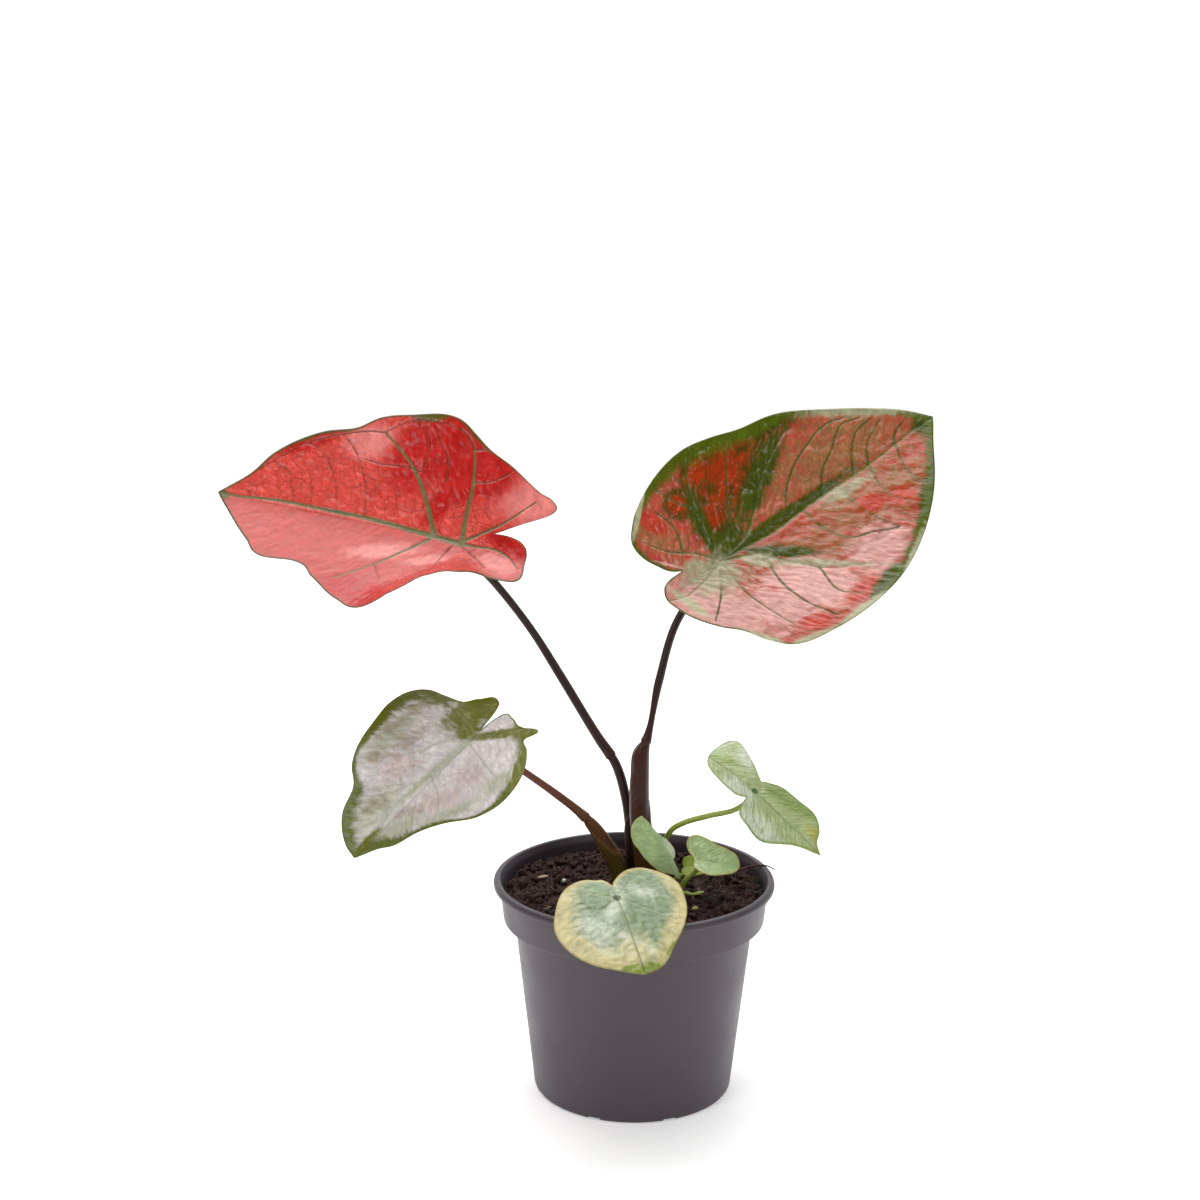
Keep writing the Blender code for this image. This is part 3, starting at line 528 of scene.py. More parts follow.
# %% [markdown]
# ## The blade as a surface
# A square grid is pulled onto a disc, so that its cells stay about even from the joint to the
# margin, and the disc is stretched to the blade's outline. A second sheet lies just beneath, and
# a strip joins the two at the margin, so the blade is one closed skin.

# %% Grid on a disc
def disc_grid(cells):
    """Square grid pulled onto a disc: a point's share of the radius is the larger of |a| and |b|,
    and its place along that square ring becomes its angle."""
    steps = np.linspace(-1, 1, cells + 1)
    a, b = np.meshgrid(steps, steps)
    share = np.maximum(np.abs(a), np.abs(b))
    wide = np.abs(a) >= np.abs(b)
    turn_a = 45 * b / np.where(a == 0, 1, a) + 180 * (a < 0)
    turn_b = 90 - 45 * a / np.where(b == 0, 1, b) + 180 * (b < 0)
    return share.ravel(), (np.where(wide, turn_a, turn_b) % 360).ravel()


def disc_faces(cells):
    """Quads of the grid, anticlockwise, and its rim as a loop of point numbers, anticlockwise."""
    number = np.arange((cells + 1) ** 2).reshape(cells + 1, cells + 1)
    quads = np.stack([number[:-1, :-1], number[:-1, 1:], number[1:, 1:], number[1:, :-1]], -1)
    rim = np.concatenate([number[0, :-1], number[:-1, -1], number[-1, :0:-1], number[:0:-1, 0]])
    return quads.reshape(-1, 4), rim


print("a grid of 4 cells has", len(disc_faces(4)[1]), "points on its rim")

# %% [markdown]
# ## Distances on the blade
# Most of the look hangs on distances: how far a point is from the margin, from the nearest rib,
# from the border of a cell of the net. They are measured for all points at once.

# %% Distances to paths
MARGIN_STRIP, RIB_STEP, RIB_TAPER = 3000, 2.5, 0.7


def path_distance(x, y, path):
    """Distance to a chain of segments and the share of the chain at the nearest place: each point
    is dropped onto each segment, kept between its ends, and the shortest drop wins."""
    start, span = path[:-1], np.diff(path, axis=0)
    size = np.maximum((span ** 2).sum(1), 1e-9)
    along_x = (x[:, None] - start[:, 0]) * span[:, 0]
    along_y = (y[:, None] - start[:, 1]) * span[:, 1]
    part = np.clip((along_x + along_y) / size, 0, 1)
    away = np.hypot(x[:, None] - start[:, 0] - part * span[:, 0],
                    y[:, None] - start[:, 1] - part * span[:, 1])
    best = away.argmin(1)
    row = np.arange(len(x))
    return away[row, best], (best + part[row, best]) / len(span)


def rib_closeness(x, y, width_root, width_end, points):
    """1 on a rib's line, 0.5 at its width and 0 at twice its width, with the width running from
    root to end."""
    away, share = path_distance(x, y, smooth_curve(points, RIB_STEP))
    width = width_root + (width_end - width_root) * share ** RIB_TAPER
    return np.clip(1 - away / (2 * width), 0, 1)


def zone_strength(x, y, ovals):
    """Soft ovals: halves with each half axis, as 0.5 to the power of the squared distance counted
    in half axes; the strongest oval wins."""
    strength = np.zeros(len(x))
    for middle_x, middle_y, ax, ay, bx, by in ovals:
        turn = np.linalg.inv(np.array([[ax, bx], [ay, by]], float))
        u, v = turn @ np.stack([x - middle_x, y - middle_y])
        strength = np.maximum(strength, 0.5 ** (u * u + v * v))
    return strength


def margin_distance(x, y, margin):
    """Distance to the nearest of many points along the margin, a strip of points at a time."""
    strips = np.array_split(np.arange(len(x)), max(1, len(x) // MARGIN_STRIP))
    return np.concatenate([
        np.sqrt(((x[strip, None] - margin[:, 0]) ** 2
                 + (y[strip, None] - margin[:, 1]) ** 2).min(1)) for strip in strips])


print("distance test:", path_distance(np.ones(1), np.ones(1), np.array([[0.0, 0.0], [2.0, 0.0]])))

# %% [markdown]
# ## Relief
# Between its veins the tissue puffs up, most on the two large leaves, and it sinks along each
# vein. Beneath, the ribs stand out. `grid` is the number of cells across, `puff` the height of the
# puffs on the left and right half, `cell` their width and length, and `lean` how much the cells
# lean towards the tip. `rim` gives the painted margin's width for some directions.

# %% Relief and margins of each blade
RELIEF = {
    "left_coral": dict(grid=212, puff=(0.2, 0.38), cell=(4.4, 7.5), lean=0.55, rim=(
        (0, 1.2), (20, 0.7), (60, 0.8), (100, 0.5), (150, 1.1), (200, 0.4), (215, 0.5), (250, 0.8),
        (268, 1.6), (285, 0.7), (310, 0.8), (330, 1.4), (345, 1.2))),
    "right_red_green": dict(grid=212, puff=(0.6, 0.55), cell=(3.4, 11.0), lean=0.6, rim=(
        (0, 3.5), (15, 2.0), (30, 3.0), (45, 6.5), (75, 7.5), (95, 5.5), (120, 2.6), (150, 1.6),
        (166, 0.8), (200, 0.6), (240, 0.6), (270, 0.8), (290, 2.0), (320, 4.2), (345, 3.6))),
    "lower_left_silver": dict(grid=180, puff=(0.24, 0.36), cell=(4.0, 6.5), lean=0.5, rim=(
        (0, 5.0), (15, 1.8), (45, 0.9), (62, 1.6), (80, 4.5), (105, 5.0), (125, 2.4), (150, 0.8),
        (183, 0.5), (200, 2.0), (222, 1.5), (234, 0.6), (244, 0.6), (256, 4.0), (285, 6.0),
        (305, 3.4), (320, 1.4), (330, 2.2), (345, 6.0))),
    "right_drooping": dict(grid=120, puff=(0.35, 0.5), cell=(2.0, 7.0), lean=0.9, rim=(
        (0, 1.2), (90, 0.7), (180, 0.7), (270, 0.8))),
    "front_low": dict(grid=124, puff=(0.3, 0.42), cell=(3.8, 6.0), lean=0.3, rim=(
        (0, 3.0), (40, 5.5), (100, 4.0), (140, 2.0), (175, 0.8), (210, 1.4), (250, 4.5),
        (300, 7.0), (340, 6.0))),
    "middle_small": dict(grid=84, puff=(0.22, 0.25), cell=(2.5, 4.0), lean=0.5, rim=((0, 0.5),)),
    "oval_small": dict(grid=84, puff=(0.2, 0.2), cell=(2.5, 4.0), lean=0.5, rim=(
        (0, 0.8), (200, 0.9), (260, 0.9), (340, 0.7))),
    "hidden_young": dict(grid=48, puff=(0.04, 0.04), cell=(2.0, 3.0), lean=0.5, rim=((0, 0.4),)),
}
TISSUE, EDGE_TISSUE, EDGE_FADE = 0.75, 0.35, 2.0
GROOVE_DEPTH, GROOVE_GRID, GROOVE_POWER = 0.3, 215, 1.5
CORD_HEIGHT, CORD_FADE = 0.5, 4.0
SIDE_GROOVE, SIDE_CORD, SIDE_WIDTHS = 0.35, 0.2, (0.55, 0.32)
HALF_SHIFT, HALF_BLEND, CELL_SHIFT = 200.0, 6.0, 20
PUFF_FADE, UNDER_SWELL, HEM_WIDTH = 5.0, 0.8, 1.2
WANDER, OUTWARD_WANDER = ((2.2, 11, 3), (0.7, 4, 4)), 0.8
PUFF_NOISE = ((0.5, 14, 8),)
PUCKERS = ((0.5, 5, 10), (0.3, 2.2, 9))


def noise_sum(x, y, octaves):
    """Sum of lumps, each octave given by its height, size and seed."""
    return sum(height * lumps(x, y, size, seed) for height, size, seed in octaves)


def rim_width(relief, angles):
    """Width of the painted margin in each direction, straight between the given ones."""
    turn, width = np.array(relief["rim"], float).T
    return np.interp(angles, turn, width, period=360)


def blade_points(blade, x, y, lift):
    """Points on the blade's surface, raised by `lift` along the surface's own normal, which comes
    from the bend's slopes over a tenth of a millimetre."""
    along, left, normal = blade_axes(blade)
    step = 0.1
    bend = blade_bend(blade, x, y)
    slope_x = (blade_bend(blade, x + step, y) - bend) / step
    slope_y = (blade_bend(blade, x, y + step) - bend) / step
    size = np.sqrt(1 + slope_x ** 2 + slope_y ** 2)
    x = x - slope_x / size * lift
    y = y - slope_y / size * lift
    height = bend + lift / size
    return (np.array(blade["joint"]) + x[:, None] * along + y[:, None] * left
            + height[:, None] * normal)


def make_blade(name, material):
    """Two sheets of a disc grid stretched to the outline, with grooves, puffs and cords."""
    blade, relief = BLADES[name], RELIEF[name]
    cells = relief["grid"]
    share, angle = disc_grid(cells)
    radius = edge_radius(blade, angle) * share
    x = blade["hub"] + radius * np.cos(np.radians(angle))
    y = radius * np.sin(np.radians(angle))
    quads, rim = disc_faces(cells)
    edge = margin_distance(x, y, np.stack([x[rim], y[rim]], 1))
    vein = np.zeros(len(x))
    for width_root, width_end, points in RIBS[name].values():
        vein = np.maximum(vein, rib_closeness(x, y, width_root, width_end, points))
    side = np.zeros(len(x))
    for points in SIDE_VEINS.get(name, ()):
        side = np.maximum(side, rib_closeness(x, y, *SIDE_WIDTHS, points))
    wander = noise_sum(x, y, WANDER)
    across = x - relief["lean"] * np.abs(y) + wander
    outwards = np.abs(y) + OUTWARD_WANDER * wander
    left_half = y > 0
    cell_width, cell_length = relief["cell"]
    net = cell_borders(across / cell_width + CELL_SHIFT * left_half, outwards / cell_length, 5)
    inside = np.clip(edge / PUFF_FADE, 0, 1) * (1 - vein) ** 0.5
    half = np.clip(y / HALF_BLEND + 0.5, 0, 1)
    puff = relief["puff"][0] * half + relief["puff"][1] * (1 - half)
    swell = puff * (1 - net ** 2) * inside * (0.75 + noise_sum(x, y, PUFF_NOISE))
    swell = swell + puff * noise_sum(x, y, PUCKERS) * inside
    depth = GROOVE_DEPTH * relief["grid"] / GROOVE_GRID
    off_edge = np.clip(edge / EDGE_FADE, 0, 1)
    top = swell - depth * vein ** GROOVE_POWER - SIDE_GROOVE * side ** GROOVE_POWER * off_edge
    tissue = EDGE_TISSUE + (TISSUE - EDGE_TISSUE) * off_edge
    cord = CORD_HEIGHT * vein ** GROOVE_POWER * np.clip(edge / CORD_FADE, 0.2, 1)
    under = UNDER_SWELL * swell - tissue - cord - SIDE_CORD * side
    points = np.concatenate([blade_points(blade, x, y, top), blade_points(blade, x, y, under)])
    count = len(x)
    strip = np.stack([rim, rim + count, np.roll(rim, -1) + count, np.roll(rim, -1)], 1)
    faces = np.concatenate([quads, quads[:, ::-1] + count, strip])
    both = {
        "vein": vein, "side": side, "puffed": swell / relief["puff"][1], "near": half,
        "across": across + HALF_SHIFT * left_half, "outwards": outwards,
        "rim": np.clip(1 - edge / (2 * rim_width(relief, angle)), 0, 1),
        "hem": np.clip(1 - edge / HEM_WIDTH, 0, 1),
    }
    both.update({zone: zone_strength(x, y, ovals) for zone, ovals in ZONES.get(name, {}).items()})
    measures = {label: np.concatenate([values, values]) for label, values in both.items()}
    measures["under"] = np.repeat([0.0, 1.0], count)
    return add_piece(f"{name}_blade", points, faces, measures, material, [f"leaf_{name}"])


# %% [markdown]
# ## Leaf tissue as a material
# Leaf skin is a thin clear wax over coloured cells: it is glossy (IOR about 1.45, roughness about
# 0.2 to 0.3) and lets a little light through. The colour is laid on in layers, from the ground
# colour to the zones, the veins and the margin. Each follows one measure of the mesh, and noise
# drawn out along the side veins breaks its border up, as cells in the real tissue do. The finest
# veins are too thin for the mesh: the material draws them as borders of random cells. Between
# them the skin is crinkled: ripples two or three millimetres wide catch the light, and the colour
# is darkened in the creases and lightened on puffs and crests: painted shade and highlight.

# %% Leaf material from layers
BLOTCH_SIZE = 5.0
STREAK_SIZE = (2.2, 4.6)
WARP = 2.2
LARGE_CELL = 2.2
WAX = 0.34
NET = ("net",)


def leaf_tissue(name, ground, layers, net, ripple, roughness):
    """Layers are (measure, colour, strength, raggedness, start, full): the measure plus noise
    runs smoothly from start to full, and NET among them is where the small veins are drawn.
    Net is their colour, strength, cell width and length, line width and rise. Ripple is the
    crinkle's width, length and depth. Lengths are in millimetres."""
    material, shader = new_material(name, IOR=1.45, Subsurface_Weight=0.05, Specular_IOR_Level=WAX)
    shader.inputs["Subsurface Radius"].default_value = (0.6 * MM, 0.5 * MM, 0.2 * MM)
    shader.inputs["Subsurface Scale"].default_value = 1.0
    place = add_node(material, "ShaderNodeTexCoord", {}, {}, "Object")
    blotch = add_node(material, "ShaderNodeTexNoise", {}, {
        "Vector": place, "Scale": 1 / (BLOTCH_SIZE * MM), "Detail": 6.0, "Roughness": 0.65})
    across = add_node(material, "ShaderNodeAttribute", {"attribute_name": "across"}, {}, "Fac")
    outwards = add_node(material, "ShaderNodeAttribute", {"attribute_name": "outwards"}, {}, "Fac")
    flat = add_node(material, "ShaderNodeCombineXYZ", {}, {"X": across, "Y": outwards})
    wobble = add_node(material, "ShaderNodeTexNoise", {}, {
        "Vector": flat, "Scale": 0.4, "Detail": 3.0}, "Color")
    flat = add_node(material, "ShaderNodeVectorMath", {"operation": "MULTIPLY_ADD"}, {
        0: wobble, 1: (WARP, WARP, 0.0), 2: flat})
    net_paint, net_strength, width, length, line_width, rise = net
    ripple_width, ripple_length, depth = ripple
    scaled = [add_node(material, "ShaderNodeMapping", {}, {
        "Vector": flat, "Scale": (1 / size[0], 1 / size[1], 1.0)})
        for size in (STREAK_SIZE, (ripple_width, ripple_length), (width, length),
                     (LARGE_CELL * width, LARGE_CELL * length))]
    streaks, ripples = [add_node(material, "ShaderNodeTexNoise", {"noise_dimensions": "2D"}, {
        "Vector": vector, "Scale": 1.0, "Detail": 2.0}) for vector in scaled[:2]]
    frayed = add_node(material, "ShaderNodeMix", {}, {0: 0.5, 2: streaks, 3: blotch})
    broken = add_node(material, "ShaderNodeMapRange", {"interpolation_type": "SMOOTHSTEP"}, {
        "Value": blotch, "From Min": 0.36, "From Max": 0.6, "To Min": 0.2, "To Max": 1.0})
    lines, net_weights, weights = [], [], []
    for vector, size, share in ((scaled[2], width, 0.6), (scaled[3], LARGE_CELL * width, 1.0)):
        border = add_node(material, "ShaderNodeTexVoronoi", {
            "feature": "DISTANCE_TO_EDGE", "voronoi_dimensions": "2D"}, {
            "Vector": vector, "Scale": 1.0, "Randomness": 0.95})
        line = add_node(material, "ShaderNodeMapRange", {"interpolation_type": "SMOOTHSTEP"}, {
            "Value": border, "From Min": 0.0, "From Max": line_width / size,
            "To Min": share, "To Max": 0.0})
        line = add_node(material, "ShaderNodeMath", {"operation": "MULTIPLY"}, {
            0: line, 1: broken})
        lines.append(line)
        net_weights.append((add_node(material, "ShaderNodeMath", {"operation": "MULTIPLY"}, {
            0: line, 1: net_strength}), net_paint))
    for layer in layers:
        if layer == NET:
            weights += net_weights
            continue
        measure, paint, strength, ragged, start, full = layer
        value = add_node(material, "ShaderNodeAttribute", {"attribute_name": measure}, {}, "Fac")
        rough = add_node(material, "ShaderNodeMath", {"operation": "MULTIPLY_ADD"}, {
            0: frayed, 1: ragged, 2: value})
        weights.append((add_node(material, "ShaderNodeMapRange", {
            "interpolation_type": "SMOOTHSTEP"}, {
            "Value": rough, "From Min": start + ragged / 2, "From Max": full + ragged / 2,
            "To Min": 0.0, "To Max": strength}), paint))
    colour = linear(ground)
    for weight, paint in weights:
        colour = add_node(material, "ShaderNodeMix", {"data_type": "RGBA"}, {
            0: weight, 6: colour, 7: linear(paint)}, 2)
    # The puffed measure and the ripple noise, which is also the bump's height, darken the colour in
    # the creases and lighten it on puffs and crests: painted shade and painted highlight. The
    # blotch tone is the tissue's own uneven colour.
    puffed = add_node(material, "ShaderNodeAttribute", {"attribute_name": "puffed"}, {}, "Fac")
    tone = 1.0
    for value, low, high, dark, light in ((blotch, 0.3, 0.7, 0.85, 1.15),
                                          (puffed, -0.4, 1.1, 0.88, 1.1),
                                          (ripples, 0.3, 0.7, 0.92, 1.08)):
        factor = add_node(material, "ShaderNodeMapRange", {}, {
            "Value": value, "From Min": low, "From Max": high, "To Min": dark, "To Max": light})
        tone = add_node(material, "ShaderNodeMath", {"operation": "MULTIPLY"}, {
            0: tone, 1: factor})
    colour = add_node(material, "ShaderNodeVectorMath", {"operation": "SCALE"}, {
        0: colour, "Scale": tone})
    gloss = add_node(material, "ShaderNodeMapRange", {}, {
        "Value": blotch, "From Min": 0.3, "From Max": 0.7, "To Min": roughness - 0.06,
        "To Max": roughness + 0.08})
    height = add_node(material, "ShaderNodeMath", {"operation": "MULTIPLY"}, {
        0: ripples, 1: depth})
    for line in lines:
        height = add_node(material, "ShaderNodeMath", {"operation": "MULTIPLY_ADD"}, {
            0: line, 1: rise, 2: height})
    bump = add_node(material, "ShaderNodeBump", {}, {
        "Height": height, "Strength": 1.0, "Distance": MM})
    connect(material, shader, Base_Color=colour, Roughness=gloss, Normal=bump)
    return material


# %% [markdown]
# ## The large left leaf
# Coral tissue with a smooth salmon near half, crimson patches between the far ribs, light pink
# patches on the far lobe, painted highlights on the near half, grey-green ribs and a thin dark
# green margin.

# %% Left leaf
coral = leaf_tissue("glossy_leaf_coral", "#d84a3e", (
    NET,
    ("near", "#bc3e35", 1.0, 0.3, 0.3, 0.7),
    # Light pink on the far lobe is the tissue's own colour; on the near half it is painted
    # highlight.
    ("pale", "#e88a84", 0.8, 0.8, 0.15, 0.9),
    ("deep", "#b40804", 0.9, 0.8, 0.15, 0.65),
    ("green", "#46560e", 0.9, 1.2, 0.35, 0.75),
    ("rim", "#4c4c1c", 0.85, 0.9, 0.4, 0.66),
    ("side", "#74361e", 0.85, 0.15, 0.25, 0.85),
    ("vein", "#66683c", 0.95, 0.4, 0.35, 0.6),
    ("under", "#a8746a", 0.8, 0.1, 0.4, 0.6),
), net=("#8a1c0a", 0.8, 3.2, 2.5, 0.5, -0.03), ripple=(2.6, 5.0, 0.07), roughness=0.26)
make_blade("left_coral", coral)

# %% [markdown]
# ## The large right leaf
# Brown-red quilted tissue crossed by olive veins, with broad moss-green bands along the ribs, a
# moss-green margin, orange patches between the left ribs, a painted pink sheen over the right half
# and the lobes, and a milky tint round the joint and a pale margin, both partly painted sheen.

# %% Right leaf
moss = leaf_tissue("glossy_leaf_red_and_moss", "#b84638", (
    ("tan", "#9a6c44", 0.8, 2.0, 0.25, 1.05),
    NET,
    # Pale pink over the right half and the lobes: painted sheen of the overhead softbox.
    ("pink_sheen", "#d6a298", 0.85, 1.2, 0.2, 0.8),
    ("orange", "#4a3c00", 0.97, 0.8, 0.1, 0.45),
    ("orange", "#a42c02", 0.85, 2.2, 0.4, 1.0),
    ("spots", "#b83420", 0.85, 1.2, 0.3, 0.75),
    ("side", "#4e5218", 0.9, 0.2, 0.2, 0.6),
    ("vein", "#4a6414", 0.85, 0.25, 0.4, 0.9),
    ("moss", "#3c4800", 0.98, 1.2, 0.2, 0.75),
    ("rim", "#4c5a00", 0.98, 1.0, 0.25, 0.75),
    # A pale whitish tint, partly the tissue's own colour and partly painted sheen.
    ("milky", "#a09e7e", 0.85, 1.2, 0.2, 0.85),
    # A pale whitish margin, partly the edge's own colour and partly painted sheen.
    ("pale_margin_and_sheen", "#b0ae8a", 0.9, 0.9, 0.3, 0.8),
    ("under", "#8f8a6c", 0.8, 0.1, 0.4, 0.6),
), net=("#6c5c30", 0.7, 1.7, 2.8, 0.5, 0.05), ripple=(1.8, 3.6, 0.16), roughness=0.2)
make_blade("right_red_green", moss)

# %% [markdown]
# ## The silvery leaf
# Nearly white tissue without green cells, with faint rosy blotches, beige-brown patches that are
# partly the tissue's tone and partly painted shade in the crinkles inside the margin, and a
# leaf-green margin that widens on the lobes.

# %% Silvery leaf
silver = leaf_tissue("satin_leaf_silver", "#cfc8c6", (
    ("misty", "#a2a888", 0.65, 1.2, 0.2, 0.95),
    # Beige-brown: partly the tissue's tone, partly painted shade in the crinkled band inside the
    # margin.
    ("beige", "#86704e", 0.5, 2.2, 0.4, 1.05),
    ("rosy", "#bb9c98", 0.45, 1.6, 0.3, 0.9),
    ("side", "#8f9468", 0.3, 0.5, 0.35, 0.8),
    ("vein", "#b2b6a0", 0.5, 0.5, 0.4, 0.8),
    NET,
    ("rim", "#566004", 0.95, 0.9, 0.25, 0.75),
    ("leafy", "#646806", 0.95, 0.8, 0.25, 0.75),
    ("under", "#94a07c", 0.8, 0.1, 0.4, 0.6),
), net=("#807860", 0.25, 1.9, 2.6, 0.4, 0.03), ripple=(2.2, 3.2, 0.18), roughness=0.24)
make_blade("lower_left_silver", silver)

# %% [markdown]
# ## The small pale leaves
# Young leaves are thin and pale. The drooping one has fine parallel veins and milky flanks, partly
# painted sheen, the low front one a grey-green middle with a cream margin and a painted milky
# sheen, and the three little ones are sage green. The drooping and the low front one have painted
# shade in the dimple where the stem joins.

# %% Small leaves
drooping = leaf_tissue("glossy_leaf_pale_green", "#b2c08a", (
    ("grassy", "#84a044", 0.65, 1.4, 0.2, 0.9),
    # Pale flanks, partly the tissue's own colour and partly painted sheen.
    ("milky", "#d2d8c4", 0.9, 1.2, 0.1, 0.7),
    NET,
    ("straw", "#b0a548", 0.7, 0.9, 0.3, 0.85),
    ("vein", "#a8ba90", 0.5, 0.3, 0.4, 0.8),
    ("rim", "#8ca058", 0.8, 0.6, 0.4, 0.6),
    # Dark spot where the stem joins: painted shade in the dimple.
    ("dimple_shade", "#3d5a28", 0.85, 0.2, 0.35, 0.7),
    ("under", "#86a070", 0.8, 0.1, 0.4, 0.6),
), net=("#66803a", 0.45, 1.2, 6.0, 0.35, -0.04), ripple=(1.8, 4.0, 0.3), roughness=0.2)
make_blade("right_drooping", drooping)

cream = leaf_tissue("glossy_leaf_cream_margin", "#7c8e6c", (
    # Painted sheen: a pale whitish gloss over the middle and the lower side.
    ("milky", "#c6cdb8", 0.75, 0.8, 0.1, 1.1),
    ("cream", "#c6bc8c", 0.85, 0.7, 0.1, 1.0),
    ("rim", "#c2b680", 0.9, 0.8, 0.05, 0.8),
    ("vein", "#aab48c", 0.6, 0.3, 0.3, 0.8),
    ("grassy", "#66820e", 0.85, 1.2, 0.3, 0.8),
    ("hem", "#a08c48", 0.6, 0.5, 0.4, 0.8),
    # Dark spot where the stem joins: painted shade in the dimple.
    ("dimple_shade", "#3c4412", 0.9, 0.2, 0.4, 0.7),
    ("under", "#a8b484", 0.8, 0.1, 0.4, 0.6),
), net=("#74895c", 0.2, 2.6, 3.4, 0.3, -0.03), ripple=(3.0, 3.6, 0.3), roughness=0.17)
make_blade("front_low", cream)

sage = leaf_tissue("satin_leaf_sage", "#9aaf7c", (
    NET,
    ("vein", "#a9b988", 0.6, 0.3, 0.4, 0.8),
    ("rim", "#a8a558", 0.7, 0.6, 0.4, 0.6),
    ("under", "#8ea672", 0.8, 0.1, 0.4, 0.6),
), net=("#6f8850", 0.35, 1.6, 2.8, 0.25, -0.03), ripple=(2.0, 3.4, 0.2), roughness=0.22)
make_blade("middle_small", sage)
make_blade("oval_small", sage)
young = leaf_tissue("satin_leaf_yellow_green", "#96a63c", (
    NET,
    ("vein", "#acb45a", 0.6, 0.3, 0.4, 0.8),
    ("under", "#99a44a", 0.6, 0.1, 0.4, 0.6),
), net=("#7a8a34", 0.3, 1.4, 2.4, 0.25, -0.03), ripple=(1.6, 2.8, 0.15), roughness=0.3)
make_blade("hidden_young", young)

# %% [markdown]
# ## Stems
# A stem is a fleshy tube that thins towards the blade. The thick foot of the three large ones is
# a sheath that opens on one side and ends in a small lip. Each is a ring of points carried along
# its path, with its radius changing from foot to blade.

# %% Paths of the stems: (x, y, z, radius), and sheaths: (top height, side it opens on, drop)
STEMS = {
    "left_coral": (
        (-1.0, 12.5, 90.0, 2.8), (-1.9, 13.0, 111.0, 2.7), (-3.9, 14.0, 124.5, 2.6),
        (-8.4, 15.5, 139.3, 2.5), (-15.8, 16.5, 150.5, 2.1), (-32.5, 19.0, 177.7, 1.9),
        (-44.1, 20.5, 196.1, 1.7), (-60.4, 21.0, 217.4, 1.7)),
    "right_red_green": (
        (5.5, 4.0, 90.0, 4.8), (4.0, 4.8, 106.0, 4.7), (2.5, 6.0, 117.0, 4.6),
        (2.2, 7.0, 137.0, 4.2), (2.8, 7.8, 146.8, 3.7), (4.6, 8.3, 152.0, 2.3),
        (9.9, 13.5, 177.3, 1.8), (17.8, 20.0, 202.6, 1.7), (28.0, 23.5, 217.0, 1.7)),
    "lower_left_silver": (
        (-5.5, -0.5, 90.0, 3.8), (-6.9, -0.5, 98.0, 3.7), (-12.8, -2.0, 110.4, 3.5),
        (-17.4, -3.5, 117.8, 2.9), (-23.0, -5.0, 124.0, 2.0), (-32.7, -7.0, 132.5, 1.7),
        (-45.4, -9.5, 142.6, 1.5), (-58.0, -11.0, 152.0, 1.5)),
    "right_drooping": (
        (12.0, 10.0, 90.0, 1.2), (11.7, 9.0, 103.8, 1.2), (13.5, 8.0, 108.3, 1.2),
        (16.4, 6.0, 113.6, 1.2), (21.2, 4.5, 116.9, 1.2), (30.7, 2.5, 120.6, 1.2),
        (44.1, 1.5, 124.8, 1.1)),
    "front_low": ((3.0, -7.0, 89.0, 1.3), (1.8, -13.0, 96.5, 1.3), (-3.0, -34.0, 101.0, 1.2)),
    "middle_small": ((11.5, -3.0, 89.0, 1.1), (10.8, -5.5, 98.0, 1.1)),
    "oval_small": ((19.5, -6.0, 89.0, 1.2), (22.0, -8.0, 95.5, 1.2)),
    "hidden_young": ((16.5, 3.5, 89.0, 1.0), (19.0, 2.8, 93.0, 1.0)),
}
SHEATHS = {
    "left_coral": (118.0, 200.0, 10.0),
    "right_red_green": (151.0, 195.0, 34.0),
    "lower_left_silver": (121.0, 60.0, 16.0),
}
STEM_FOOT = 76.0
STEM_COLLAR = 86.0
STEM_REACH = 6.0
STEM_STEP = 0.8
JOINT_FLARE = 1.25
THICK_FOOT, THICK_SIDES, THIN_SIDES = 2.0, 32, 20
SHEATH_LIFT, SHEATH_FADE, BARE_RADIUS = 0.5, 1.2, 2.4
LIP_DROP, LIP_WIDTH = 0.8, 0.9
RIDGES, RIDGE_SHARE = 5, 0.03


def tube(path, radius, side):
    """Rings of points across a path: each ring is the radius times the cosine and sine of its turn
    along two directions square to the path, the first of them kept close to `side`."""
    steps, sides = radius.shape
    ahead = np.gradient(path, axis=0)
    ahead /= np.linalg.norm(ahead, axis=1)[:, None]
    first = side - (ahead @ side)[:, None] * ahead
    first /= np.linalg.norm(first, axis=1)[:, None]
    second = np.cross(ahead, first)
    turn = np.linspace(0, math.tau, sides, endpoint=False)
    ring = np.cos(turn)[:, None] * first[:, None] + np.sin(turn)[:, None] * second[:, None]
    points = (path[:, None] + radius[..., None] * ring).reshape(-1, 3)
    points = np.concatenate([points, path[:1], path[-1:]])
    return points, *ring_faces(steps, sides, flipped=True)


